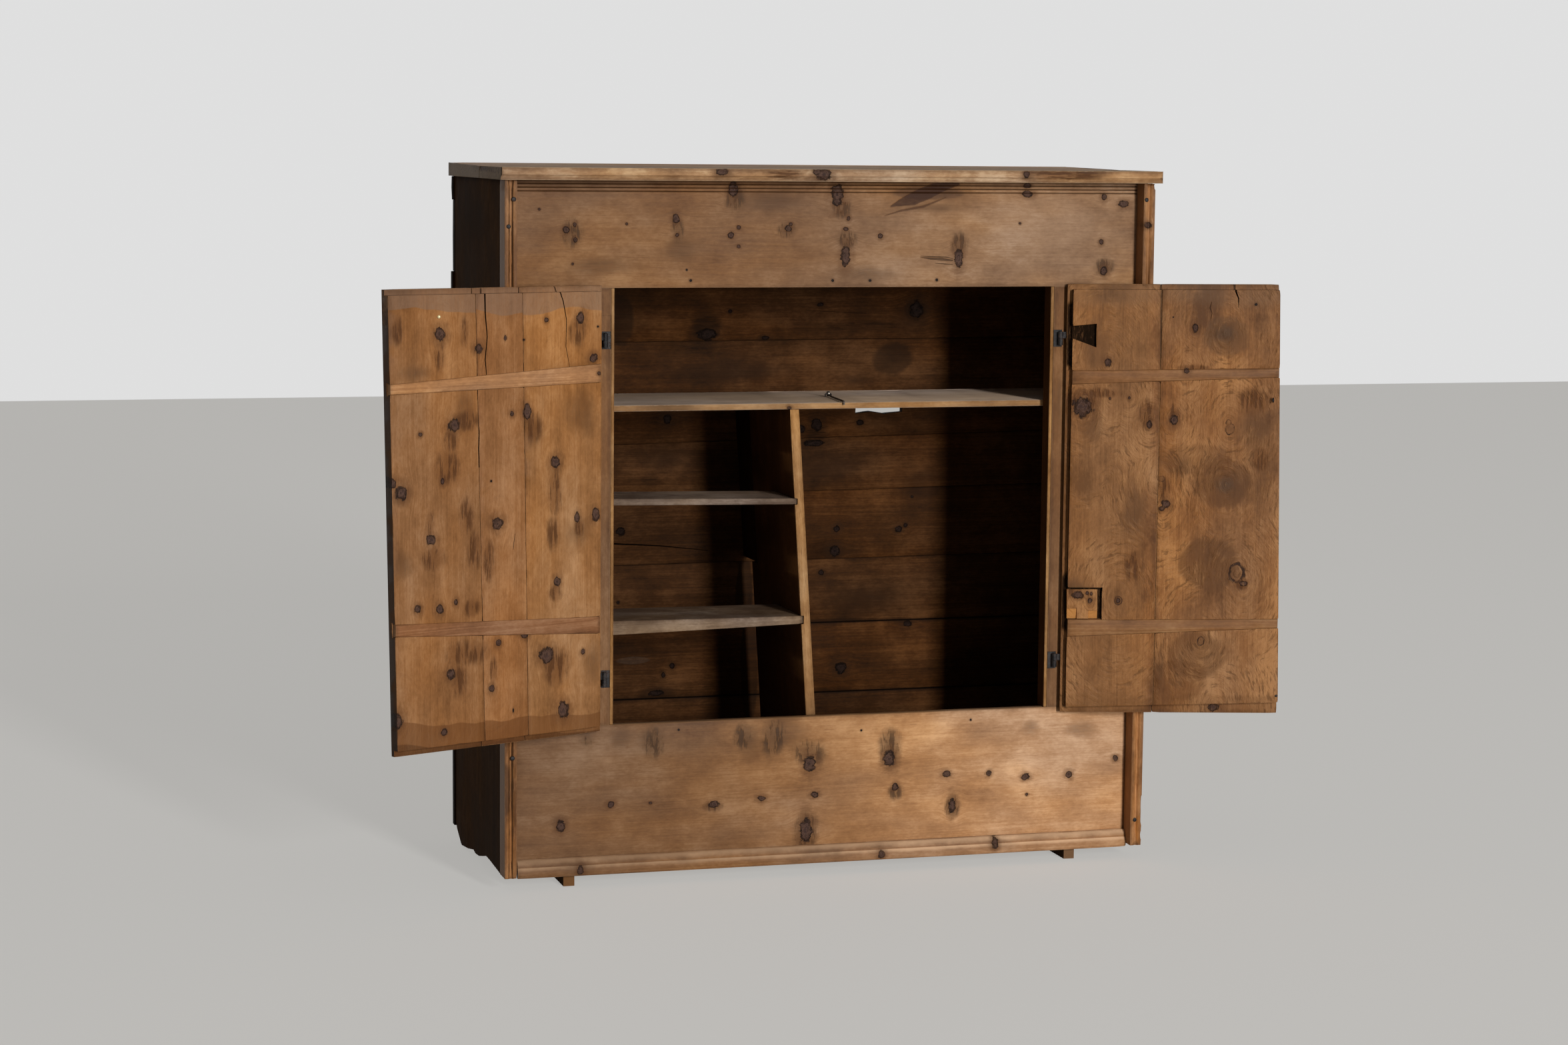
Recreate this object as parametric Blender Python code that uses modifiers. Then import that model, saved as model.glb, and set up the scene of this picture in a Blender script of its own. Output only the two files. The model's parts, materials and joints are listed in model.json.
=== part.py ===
# An old country cupboard in pine: a nailed plank carcass on two skids, two lipped plank
# doors held by sliding dovetail battens, iron pin hinges, a shelf, a leaning partition
# with two half shelves, and a hook. Metres, +Z up. X runs across the front, Y to the
# rear, the frame's front face is Y = 0 and the floor is Z = 0, until the last step
# moves the whole cupboard sideways so that the origin is under its middle.

import math

import bmesh
import bpy

# Fits
GAP = 0.0003                      # between pieces that touch
MERGE = 0.00001                   # vertices closer than this are one
PAST = 0.004                      # how far a cutter runs past what it cuts
PLANK_GAP = 0.0006                # shrinkage between neighbouring planks

# Carcass
HEIGHT = 1.408
WIDTH = 1.330                     # over the two sides
DEPTH = 0.470                     # frame face to the rear edge of the sides
SIDE_THICKNESS = 0.024            # also the width of the corner mouldings
FRAME_THICKNESS = 0.022           # frieze, stiles and apron
ARRIS = 0.0012                    # worn edge of a board

# Bottom edge of a side, scribed to an uneven floor: shares of the depth, and heights
SIDE_FOOT_SHARES = (0.23, 0.32, 0.48, 0.55, 0.60, 0.73, 0.87, 0.97)
SIDE_FOOT_RISES = (0.0360, 0.0365, 0.0210, 0.0185, 0.0220, 0.0120, 0.0050, 0.0290)
SIDE_FRONT_RISE = 0.031           # the foot's height at the front
SIDE_REAR_RISE = 0.042            # and at the rear corner

# Top
TOP_THICKNESS = 0.024
TOP_FRONT_OVERHANG = 0.052
TOP_LEFT_OVERHANG = 0.010
TOP_RIGHT_OVERHANG = 0.012
TOP_REAR_OVERHANG = 0.002         # past the back planks
TOP_JOINT = 0.165                 # where the front board meets the rear one
TOP_JOINT_CHAMFER = 0.004
TOP_REAR_RAISE = 0.003            # the rear board stands higher at its rear edge
TOP_CORNER = 0.007                # radius of the front corners
TOP_FILLET = 0.014                # flat upper part of the moulded front edge
TOP_COVE_STEP = 0.002
TOP_COVE_SETBACK = 0.006
TOP_COVE_HOLLOW = 0.0018

# Frieze
FRIEZE_HEIGHT = 0.2075
REEDS = 3
REED_PITCH = 0.007
REED_DEPTH = 0.0018

# Opening and its linings
OPENING_WIDTH = 0.901
OPENING_SHIFT = 0.009             # its middle lies right of the carcass middle
APRON_TOP = 0.3195
LINING_THICKNESS = 0.007
LINING_DEPTH = 0.036

# Foot of the front
BOTTOM_TOP = 0.0585               # upper face of the bottom board
BOTTOM_THICKNESS = 0.022
APRON_RISE = 0.0035               # apron's lower edge above the bottom board's underside
BASE_DROP = 0.0165                # base moulding's lower edge below the apron's
BASE_HEIGHT = 0.036
BASE_PROJECTION = 0.016
BASE_LIP = 0.004                  # its top edge stands this far off the apron
BASE_SHOULDER = 0.0115            # its depth where the ogee meets the roll
BASE_ROLL = 0.021                 # height of the rounded roll
BASE_LEFT_GAP = 0.0065

# Corner mouldings
MOULDING_PROJECTION = 0.037
MOULDING_LAP = 0.012              # how far it reaches behind the frame face
MOULDING_RISE = 0.030             # lower end above the floor
MOULDING_FILLET = 0.007
MOULDING_COVE = 0.0042            # depth of the flute between the fillets

# Skids: distance of the middle from the carcass middle, and width
SKID_LEFT = 0.528
SKID_RIGHT = 0.5235
SKID_WIDTH = 0.023
SKID_FRONT = 0.005
SKID_REAR_INSET = 0.010

# Back: its joints lie at shares of its height, at the left and at the right end
BACK_THICKNESS = 0.0197
BACK_BOTTOM = 0.035
BACK_LEFT_SHARES = (0.186, 0.298, 0.397, 0.502, 0.583, 0.745, 0.856, 0.964)
BACK_RIGHT_SHARES = (0.186, 0.298, 0.402, 0.514, 0.600, 0.750, 0.856, 0.964)
BACK_OVERHANG = 0.003             # past the sides, on the average
BACK_RAGGED = 0.0022              # how much the plank ends differ

# Broken slot through the plank below the shelf
SLOT_PLANK = 5
SLOT_MIDDLE = 0.252
SLOT_WIDTH = 0.104
SLOT_RISE = 0.0635                # lower edge above that plank's lower edge
SLOT_HEIGHT = 0.0180
SLOT_TOOTH = 0.004

# Shelf on cleats
SHELF_TOP = 0.945
SHELF_THICKNESS = 0.012
SHELF_SETBACK = 0.001             # front edge behind the linings
SHELF_DEPTH = 0.299
CLEAT_WIDTH = 0.020
CLEAT_HEIGHT = 0.022
CLEAT_INSET = 0.015               # from both edges of the shelf

# Partition, leaning to the left
PARTITION_TOP = 0.0741            # left face below the shelf, left of the middle
PARTITION_LEAN = math.radians(3.75)
PARTITION_THICKNESS = 0.0195
PARTITION_SETBACK = 0.004
PARTITION_DEPTH = (0.345, 0.304)  # below its rear notch, above it
PARTITION_NOTCH = 0.585           # where the rear board rests
PARTITION_REAR_INSET = 0.005      # the rear board behind the left face
PARTITION_REAR_THICKNESS = 0.012
HOUSING = 0.006                   # how far a half shelf is let in

# Half shelves: top at the left and right end, thickness at both, setback, bow, depth
UPPER_HALF_TOP = (0.7660, 0.7536)
UPPER_HALF_THICKNESS = (0.014, 0.011)
UPPER_HALF_DEPTH = (0.115, 0.150)
LOWER_HALF_TOP = (0.5207, 0.5170)
LOWER_HALF_THICKNESS = (0.0340, 0.0155)
LOWER_HALF_DEPTH = (0.160, 0.175)
HALF_SETBACK = 0.008
HALF_BOW = 0.006
HALF_CLEAT = 0.018
HALF_CLEAT_INSET = 0.010

# Doors
LIP_THICKNESS = 0.010
FIELD_THICKNESS = 0.014           # the part that enters the opening
DOOR_STANDOFF = 0.0005            # between a lip and the frame face
LIP_OVER_SIDE = 0.0075            # how far the lips cover the frame
LIP_OVER_TOP = 0.0055
LIP_OVER_BOTTOM = 0.0085
LIP_SIDE = 0.0100                 # breadth of the lips
LIP_TOP = 0.0105
LIP_BOTTOM = 0.0125
RIGHT_LIP_BOTTOM_FREE = 0.0240    # the right door's lower lip widens to its free edge
FREE_EDGE_RISE = 0.0020           # a door is this much taller each way at its free edge
MEETING_GAP = 0.002
MEETING_TOP = 0.0290              # the doors meet right of the opening's middle,
MEETING_BOTTOM = 0.0110           # on a line that slants
LEFT_SHORT_OF_STOP = math.radians(10.1)   # at rest, before it meets the moulding
RIGHT_SHORT_OF_STOP = math.radians(1.1)

# Plank joints from the hinge-side edge: at the bottom, at the top
LEFT_JOINTS = ((0.1760, 0.1910), (0.2745, 0.2960))
RIGHT_JOINTS = ((0.1890, 0.1890),)

# Sliding dovetail battens: distance of the middle from the door's top or lower edge and
# visible height, at the hinge end and at the free end
BATTEN_DEPTH = 0.011
BATTEN_FLARE = math.radians(14)
LEFT_UPPER_BATTEN = (0.1675, 0.0350, 0.1824, 0.0180)
LEFT_LOWER_BATTEN = (0.2120, 0.0320, 0.2398, 0.0215)
RIGHT_UPPER_BATTEN = (0.1876, 0.0267, 0.1755, 0.0176)
RIGHT_LOWER_BATTEN = (0.1738, 0.0336, 0.1846, 0.0179)
BATTEN_SHORT = 0.0010             # each end stays inside the door

# Old mortises in the right door: the upper one's edges lie below the door's top, at the
# near and at the far end, and the lower one's above the door's lower edge
MORTISE_DEPTH = 0.008
UPPER_MORTISE_NEAR = (0.1075, 0.0840)
UPPER_MORTISE_FAR = (0.1260, 0.0790)
UPPER_MORTISE_REACH = 0.0580
LOWER_MORTISE = (0.1885, 0.2576)
LOWER_MORTISE_REACH = 0.0800

# Hinges
HINGE_SETBACK = 0.012             # pin axis to the lip's edge
HINGE_STANDOFF = 0.006            # pin axis in front of the frame face
BARREL_RADIUS = 0.0052
BARREL_HEIGHT = 0.027
KNUCKLE_GAP = 0.0005
PIN_RADIUS = 0.0020
PIN_CLEARANCE = 0.0004
PIN_HEAD_RADIUS = 0.0034
PIN_HEAD_HEIGHT = 0.0014
PLATE_THICKNESS = 0.002
PLATE_PAST_AXIS = 0.005
PLATE_HEIGHT = 0.034
WEB_HALF_WIDTH = 0.0034
LEAF_REACH = 0.020                # door leaf inside the lip
SLOT_CLEARANCE = 0.0003
HINGE_FROM_TOP = {"left": 0.1067, "right": 0.1099}
HINGE_FROM_BOTTOM = {"left": 0.1003, "right": 0.1055}
SPARE_RECESS = 0.031              # empty hinge recess above the upper left hinge
FACETS = 20

# Hook on the shelf, its staple, and the eye on the right door
HOOK_X = 0.050
HOOK_Y = 0.185
HOOK_LIFT = 0.006                 # pivot above the shelf
HOOK_LENGTH = 0.1535
HOOK_DRIFT = 0.014                # the tip lies left of the pivot
HOOK_RADIUS = 0.0022
HOOK_TURN = 0.0065                # how far the tip turns down
HOOK_EYE_RADIUS = 0.0054
HOOK_EYE_WIDTH = 0.004
STAPLE_RADIUS = 0.0014
STAPLE_HALF_WIDTH = 0.0062
EYE_RING = 0.0044
EYE_WIRE = 0.0011
EYE_SHANK = 0.0030
EYE_INSET = 0.0150                # from the right door's free edge
EYE_OVER_SHELF = 0.007

# Small metal on the doors
STUD_RADIUS = 0.0035
STUD_HEIGHT = 0.0040
STUD_FROM_FREE_EDGE = 0.108
STUD_DROP = 0.050                 # below the door's top
NAIL_RADIUS = 0.0026
NAIL_HEIGHT = 0.0012
NAIL_INSET = 0.0036               # from the right door's free edge
NAIL_RISE = 0.036

# Colour, roughness, metallic
FINISHES = {
    "front pine": ((0.46, 0.22, 0.085), 0.55, 0.0),
    "door pine": ((0.50, 0.25, 0.10), 0.52, 0.0),
    "dark side": ((0.10, 0.045, 0.022), 0.60, 0.0),
    "inner pine": ((0.30, 0.15, 0.065), 0.70, 0.0),
    "grey board": ((0.42, 0.34, 0.25), 0.75, 0.0),
    "batten pine": ((0.55, 0.30, 0.13), 0.50, 0.0),
    "black iron": ((0.045, 0.040, 0.037), 0.55, 0.9),
    "worn steel": ((0.45, 0.43, 0.40), 0.40, 1.0),
    "brass": ((0.75, 0.62, 0.36), 0.35, 1.0),
}

# The outlines' planes: along x the points are (y, z), along y (x, z), along z (x, y)
FACING = {
    "x": (math.pi / 2, 0.0, math.pi / 2),
    "y": (math.pi / 2, 0.0, 0.0),
    "z": (0.0, 0.0, 0.0),
}

# Lengths that follow from the driving dimensions
half_width = WIDTH / 2
inner_x = half_width - SIDE_THICKNESS
under_top = HEIGHT - TOP_THICKNESS
opening_top = under_top - FRIEZE_HEIGHT
opening_left = OPENING_SHIFT - OPENING_WIDTH / 2
opening_right = OPENING_SHIFT + OPENING_WIDTH / 2
bottom_underside = BOTTOM_TOP - BOTTOM_THICKNESS
apron_bottom = bottom_underside + APRON_RISE
back_front = DEPTH + GAP
back_rear = back_front + BACK_THICKNESS
shelf_front = LINING_DEPTH + SHELF_SETBACK
shelf_rear = shelf_front + SHELF_DEPTH
shelf_underside = SHELF_TOP - SHELF_THICKNESS
partition_front = LINING_DEPTH + PARTITION_SETBACK
door_top = opening_top + LIP_OVER_TOP
door_bottom = APRON_TOP - LIP_OVER_BOTTOM
lip_front = HINGE_STANDOFF - DOOR_STANDOFF - LIP_THICKNESS
lip_rear = lip_front + LIP_THICKNESS
field_rear = lip_rear + FIELD_THICKNESS


def clear_scene():
    for obj in list(bpy.data.objects):
        bpy.data.objects.remove(obj, do_unlink=True)


def new_collection(name):
    collection = bpy.data.collections.new(name)
    bpy.context.scene.collection.children.link(collection)
    return collection


def new_empty(name, place, parent=None, turn=0.0):
    empty = bpy.data.objects.new(name, None)
    empty.empty_display_size = 0.05
    empty.location = place
    empty.rotation_euler = (0.0, 0.0, turn)
    empty.parent = parent
    parts.objects.link(empty)
    return empty


def new_material(name, finish):
    colour, roughness, metallic = FINISHES[finish]
    material = bpy.data.materials.new(name)
    material.use_nodes = True
    surface = material.node_tree.nodes["Principled BSDF"]
    surface.inputs["Base Color"].default_value = (*colour, 1.0)
    surface.inputs["Roughness"].default_value = roughness
    surface.inputs["Metallic"].default_value = metallic
    material.diffuse_color = (*colour, 1.0)
    return material


def keep(obj, finish, parent):
    obj.data.materials.clear()
    obj.data.materials.append(new_material(obj.name, finish))
    obj.parent = parent
    parts.objects.link(obj)
    return obj


def as_cutter(obj, parent):
    obj.parent = parent
    obj.display_type = "WIRE"
    obj.hide_render = True
    cutters.objects.link(obj)
    return obj


def as_mesh(source):
    # A curve's solid as a welded mesh in the same place
    name = source.name
    bpy.context.scene.collection.objects.link(source)
    bpy.context.view_layer.update()
    evaluated = source.evaluated_get(bpy.context.evaluated_depsgraph_get())
    mesh = bpy.data.meshes.new_from_object(evaluated)
    matrix = source.matrix_world.copy()
    bpy.data.objects.remove(source, do_unlink=True)
    shape = bmesh.new()
    shape.from_mesh(mesh)
    bmesh.ops.remove_doubles(shape, verts=shape.verts, dist=MERGE)
    bmesh.ops.recalc_face_normals(shape, faces=shape.faces)
    shape.to_mesh(mesh)
    shape.free()
    solid = bpy.data.objects.new(name, mesh)
    solid.matrix_world = matrix
    return solid


def prism(name, points, low, high, facing):
    # A flat outline, extruded along one axis from low to high
    curve = bpy.data.curves.new(name, "CURVE")
    curve.dimensions = "2D"
    curve.fill_mode = "BOTH"
    curve.extrude = (high - low) / 2
    spline = curve.splines.new("POLY")
    spline.points.add(len(points) - 1)
    for point, (across, up) in zip(spline.points, points):
        point.co = (across, up, 0.0, 1.0)
    spline.use_cyclic_u = True
    outline = bpy.data.objects.new(name, curve)
    outline.rotation_euler = FACING[facing]
    outline.location = [(low + high) / 2 if axis == facing else 0.0 for axis in "xyz"]
    return as_mesh(outline)


def box(name, low, high):
    shape = bmesh.new()
    bmesh.ops.create_cube(shape, size=1.0)
    bmesh.ops.scale(shape, vec=[b - a for a, b in zip(low, high)], verts=shape.verts)
    mesh = bpy.data.meshes.new(name)
    shape.to_mesh(mesh)
    shape.free()
    solid = bpy.data.objects.new(name, mesh)
    solid.location = [(a + b) / 2 for a, b in zip(low, high)]
    return solid


def cylinder(name, middle, radius, length, along="z"):
    shape = bmesh.new()
    bmesh.ops.create_cone(shape, cap_ends=True, segments=FACETS,
                          radius1=radius, radius2=radius, depth=length)
    mesh = bpy.data.meshes.new(name)
    shape.to_mesh(mesh)
    shape.free()
    solid = bpy.data.objects.new(name, mesh)
    solid.location = middle
    solid.rotation_euler = FACING[along]
    mesh.shade_smooth()
    mesh.set_sharp_from_angle(angle=math.radians(40))
    return solid


def loft(name, first, last):
    # A solid between two sections with as many corners each
    count = len(first)
    shape = bmesh.new()
    start = [shape.verts.new(corner) for corner in first]
    end = [shape.verts.new(corner) for corner in last]
    shape.faces.new(start)
    shape.faces.new(end[::-1])
    for i in range(count):
        j = (i + 1) % count
        shape.faces.new((start[j], start[i], end[i], end[j]))
    bmesh.ops.recalc_face_normals(shape, faces=shape.faces)
    mesh = bpy.data.meshes.new(name)
    shape.to_mesh(mesh)
    shape.free()
    return bpy.data.objects.new(name, mesh)


def turned(name, profile, steps=FACETS):
    # A profile of (radius, height), from the top down, turned about its own Z
    mesh = bpy.data.meshes.new(name)
    shape = bmesh.new()
    points = [shape.verts.new((radius, 0.0, height)) for radius, height in profile]
    for upper, lower in zip(points, points[1:]):
        shape.edges.new((upper, lower))
    shape.to_mesh(mesh)
    shape.free()
    solid = bpy.data.objects.new(name, mesh)
    screw = solid.modifiers.new("Turn", "SCREW")
    screw.steps = steps
    screw.render_steps = steps
    screw.use_merge_vertices = True
    screw.merge_threshold = MERGE
    screw.use_smooth_shade = True
    return solid


def rod(name, points, radius, resolution=2):
    # A round bar through the points, with a radius factor as each point's last value
    curve = bpy.data.curves.new(name, "CURVE")
    curve.dimensions = "3D"
    curve.bevel_depth = radius
    curve.bevel_resolution = resolution
    curve.use_fill_caps = True
    spline = curve.splines.new("POLY")
    spline.points.add(len(points) - 1)
    for point, (x, y, z, factor) in zip(spline.points, points):
        point.co = (x, y, z, 1.0)
        point.radius = factor
    return as_mesh(bpy.data.objects.new(name, curve))


def combine(target, tool, operation):
    modifier = target.modifiers.new(tool.name, "BOOLEAN")
    modifier.operation = operation
    modifier.object = tool
    return target


def soften(obj, width=ARRIS, segments=2):
    bevel = obj.modifiers.new("Worn edges", "BEVEL")
    bevel.width = width
    bevel.segments = segments
    bevel.limit_method = "ANGLE"
    bevel.angle_limit = math.radians(40)
    return obj


def bow(start, end, rise, steps=6):
    # Points from start to end, bowed by rise to the left of the way between them
    along = (end[0] - start[0], end[1] - start[1])
    length = math.hypot(*along)
    left = (-along[1] / length, along[0] / length)
    points = []
    for i in range(steps + 1):
        share = i / steps
        lift = rise * 4 * share * (1 - share)
        points.append((start[0] + along[0] * share + left[0] * lift,
                       start[1] + along[1] * share + left[1] * lift))
    return points


def mix(pair, share):
    return pair[0] + (pair[1] - pair[0]) * share


def side_panel(name, low, high, root):
    front = MOULDING_LAP + GAP
    foot = [(DEPTH * share, rise) for share, rise in zip(SIDE_FOOT_SHARES, SIDE_FOOT_RISES)]
    points = [(front, under_top - GAP), (front, SIDE_FRONT_RISE)]
    points += foot
    points += [(DEPTH, SIDE_REAR_RISE), (DEPTH, under_top - GAP)]
    keep(prism(name, points, low, high, "x"), "dark side", root)


def sides(root):
    side_panel("side_left", -half_width, -inner_x, root)
    side_panel("side_right", inner_x, half_width, root)


def top_boards(root):
    left = -half_width - TOP_LEFT_OVERHANG
    right = half_width + TOP_RIGHT_OVERHANG
    front = -TOP_FRONT_OVERHANG
    rear = back_rear + TOP_REAR_OVERHANG
    cove_top = HEIGHT - TOP_FILLET
    profile = [(TOP_JOINT - GAP, under_top), (TOP_JOINT - GAP, HEIGHT - TOP_JOINT_CHAMFER),
               (TOP_JOINT - TOP_JOINT_CHAMFER, HEIGHT), (front, HEIGHT), (front, cove_top)]
    profile += bow((front + TOP_COVE_STEP, cove_top),
                   (front + TOP_COVE_SETBACK, under_top), TOP_COVE_HOLLOW)
    board = prism("top_front_board", profile, left, right, "x")
    corner = TOP_CORNER * (1 - math.sqrt(0.5))
    plan = [(left - PAST, TOP_JOINT + PAST), (left - PAST, front + TOP_CORNER),
            (left, front + TOP_CORNER), (left + corner, front + corner),
            (left + TOP_CORNER, front), (left + TOP_CORNER, front - PAST),
            (right - TOP_CORNER, front - PAST), (right - TOP_CORNER, front),
            (right - corner, front + corner), (right, front + TOP_CORNER),
            (right + PAST, front + TOP_CORNER), (right + PAST, TOP_JOINT + PAST)]
    limit = prism("top_plan", plan, under_top - PAST, HEIGHT + PAST, "z")
    combine(board, as_cutter(limit, root), "INTERSECT")
    keep(soften(board), "front pine", root)

    profile = [(TOP_JOINT, under_top), (rear, under_top),
               (rear, HEIGHT + TOP_REAR_RAISE), (TOP_JOINT, HEIGHT)]
    keep(soften(prism("top_rear_board", profile, left, right, "x")), "front pine", root)


def frieze(root):
    top = under_top - GAP
    reeds_start = top - REEDS * REED_PITCH
    profile = [(FRAME_THICKNESS, top), (FRAME_THICKNESS, opening_top), (0.0, opening_top),
               (0.0, reeds_start - REED_DEPTH)]
    for i in range(REEDS):
        low = reeds_start + i * REED_PITCH
        profile += bow((REED_DEPTH, low), (REED_DEPTH, low + REED_PITCH - GAP), REED_DEPTH)
    reach = inner_x - GAP
    keep(prism("frieze_board", profile, -reach, reach, "x"), "front pine", root)


def stiles_and_linings(root):
    low = APRON_TOP + GAP
    high = opening_top - GAP
    for side, toward, edge in (("left", 1, opening_left), ("right", -1, opening_right)):
        outer = -toward * (inner_x - GAP)
        joint = edge - toward * LINING_THICKNESS
        stile = box(f"front_stile_{side}", (min(outer, joint), 0.0, low),
                    (max(outer, joint), FRAME_THICKNESS, high))
        for number, middle in enumerate(hinge_heights(side)):
            reach = PLATE_HEIGHT / 2 + SLOT_CLEARANCE
            spare = SPARE_RECESS if (side, number) == ("left", 0) else 0.0
            far = axis_x(side) - toward * (PLATE_PAST_AXIS + SLOT_CLEARANCE)
            near = joint + toward * PAST
            recess = box(f"recess_{side}_{number}",
                         (min(far, near), -PAST, middle - reach),
                         (max(far, near), PLATE_THICKNESS + SLOT_CLEARANCE,
                          middle + reach + spare))
            combine(stile, as_cutter(recess, root), "DIFFERENCE")
        keep(stile, "front pine", root)
        start = joint + toward * GAP
        lining = box(f"jamb_lining_{side}", (min(start, edge), 0.0, low),
                     (max(start, edge), LINING_DEPTH, high))
        keep(soften(lining), "inner pine", root)


def apron(root):
    reach = inner_x - GAP
    keep(box("apron_board", (-reach, 0.0, apron_bottom), (reach, FRAME_THICKNESS, APRON_TOP)),
         "front pine", root)
    low = apron_bottom - BASE_DROP
    high = low + BASE_HEIGHT
    shoulder = low + BASE_ROLL
    profile = [(-GAP, low), (-GAP, high), (-BASE_LIP, high)]
    profile += bow((-BASE_LIP, high - 0.001), (-BASE_SHOULDER, shoulder + 0.001), -0.0012)
    profile += bow((-BASE_SHOULDER, shoulder), (-BASE_SHOULDER, low),
                   BASE_SHOULDER - BASE_PROJECTION, 8)
    keep(prism("base_moulding", profile, -reach + BASE_LEFT_GAP, reach, "x"),
         "front pine", root)


def corner_mouldings(root):
    for side, sign in (("left", -1), ("right", 1)):
        outer = sign * half_width
        inner = sign * inner_x
        front = -MOULDING_PROJECTION
        plan = [(outer, MOULDING_LAP), (inner, MOULDING_LAP)]
        plan += [(inner, front)]
        plan += bow((inner + sign * MOULDING_FILLET, front),
                    (outer - sign * MOULDING_FILLET, front), sign * MOULDING_COVE, 8)
        plan += [(outer, front)]
        keep(prism(f"corner_moulding_{side}", plan, MOULDING_RISE, under_top - GAP, "z"),
             "front pine", root)


def bottom_and_skids(root):
    reach = inner_x - GAP
    keep(box("bottom_board", (-reach, FRAME_THICKNESS + GAP, bottom_underside),
             (reach, DEPTH, BOTTOM_TOP)), "grey board", root)
    for name, middle in (("skid_left", -SKID_LEFT), ("skid_right", SKID_RIGHT)):
        skid = box(name, (middle - SKID_WIDTH / 2, SKID_FRONT, 0.0),
                   (middle + SKID_WIDTH / 2, DEPTH - SKID_REAR_INSET, bottom_underside - GAP))
        keep(skid, "dark side", root)


def back_planks(root):
    height = under_top - GAP - BACK_BOTTOM
    joints = [(0.0, 0.0), *zip(BACK_LEFT_SHARES, BACK_RIGHT_SHARES), (1.0, 1.0)]
    for i, (lower, upper) in enumerate(zip(joints, joints[1:])):
        left = -half_width - BACK_OVERHANG - BACK_RAGGED * math.sin(2.4 * i)
        right = half_width + BACK_OVERHANG + BACK_RAGGED * math.sin(1.7 * i + 1)
        low = [BACK_BOTTOM + height * share + (PLANK_GAP if i else 0.0) for share in lower]
        high = [BACK_BOTTOM + height * share for share in upper]
        points = [(left, low[0]), (right, low[1]), (right, high[1]), (left, high[0])]
        plank = prism(f"back_plank_{i + 1}", points, back_front, back_rear, "y")
        if i == SLOT_PLANK:
            base = low[0] + SLOT_RISE
            start = SLOT_MIDDLE - SLOT_WIDTH / 2
            end = SLOT_MIDDLE + SLOT_WIDTH / 2
            ragged = [(start, base), (mix((start, end), 0.32), base + SLOT_TOOTH),
                      (mix((start, end), 0.62), base - SLOT_TOOTH / 4),
                      (end, base + SLOT_TOOTH / 2), (end, base + SLOT_HEIGHT),
                      (start, base + SLOT_HEIGHT)]
            hole = prism("broken_slot", ragged, back_front - PAST, back_rear + PAST, "y")
            combine(plank, as_cutter(hole, root), "DIFFERENCE")
        keep(plank, "inner pine", root)


def shelf_and_cleats(root):
    reach = inner_x - GAP
    shelf = box("upper_shelf", (-reach, shelf_front, shelf_underside),
                (reach, shelf_rear, SHELF_TOP))
    keep(soften(shelf), "grey board", root)
    for name, wall, sign in (("shelf_cleat_left", -reach, 1), ("shelf_cleat_right", reach, -1)):
        free = wall + sign * CLEAT_WIDTH
        cleat = box(name, (min(wall, free), shelf_front + CLEAT_INSET,
                           shelf_underside - GAP - CLEAT_HEIGHT),
                    (max(wall, free), shelf_rear - CLEAT_INSET, shelf_underside - GAP))
        keep(soften(cleat), "inner pine", root)


def partition_left(height):
    return -PARTITION_TOP + (shelf_underside - height) * math.tan(PARTITION_LEAN)


def half_shelf_outline(tops, thicknesses, wall, end, reach, clearance):
    # The board seen from the front between two places in reach, tapering from wall to end
    lows = []
    highs = []
    for x in reach:
        share = (x - wall) / (end - wall)
        top = mix(tops, share)
        lows.append((x, top - mix(thicknesses, share) - clearance))
        highs.append((x, top + clearance))
    return lows + highs[::-1]


def half_shelf(name, tops, thicknesses, depths, partition, root):
    wall = -inner_x + GAP
    end = partition_left(tops[1]) + HOUSING
    elevation = half_shelf_outline(tops, thicknesses, wall, end, (wall, end), 0.0)
    shelf = prism(name, elevation, 0.0, DEPTH, "y")
    front = LINING_DEPTH + HALF_SETBACK
    rears = [front + depth for depth in depths]
    plan = bow((wall - PAST, front), (end + PAST, front), -HALF_BOW, 8)
    plan += [(end + PAST, rears[1]), (wall - PAST, rears[0])]
    limit = prism(name + "_plan", plan, BOTTOM_TOP, SHELF_TOP, "z")
    combine(shelf, as_cutter(limit, root), "INTERSECT")
    keep(shelf, "inner pine", root)

    reach = (end - HOUSING - 2 * PAST, end + GAP)
    housing = half_shelf_outline(tops, thicknesses, wall, end, reach, GAP)
    groove = prism(name + "_housing", housing, partition_front - PAST, rears[1] + GAP, "y")
    combine(partition, as_cutter(groove, root), "DIFFERENCE")

    free = wall + HALF_CLEAT
    underside = half_shelf_outline(tops, thicknesses, wall, end, (wall, free), GAP)[:2]
    seat = min(height for x, height in underside)
    cleat = box(name.replace("half_shelf", "half_shelf_cleat"),
                (wall, front + HALF_CLEAT_INSET, seat - HALF_CLEAT),
                (free, rears[0] - HALF_CLEAT_INSET, seat))
    keep(soften(cleat), "inner pine", root)


def leaning_board(name, low, high, inset, thickness, front, rear):
    # A board that leans with the partition, its left face set in from the partition's
    breadth = thickness / math.cos(PARTITION_LEAN)
    outline = [(partition_left(high) + inset, high),
               (partition_left(high) + inset + breadth, high),
               (partition_left(low) + inset + breadth, low),
               (partition_left(low) + inset, low)]
    return prism(name, outline, front, rear, "y")


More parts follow.
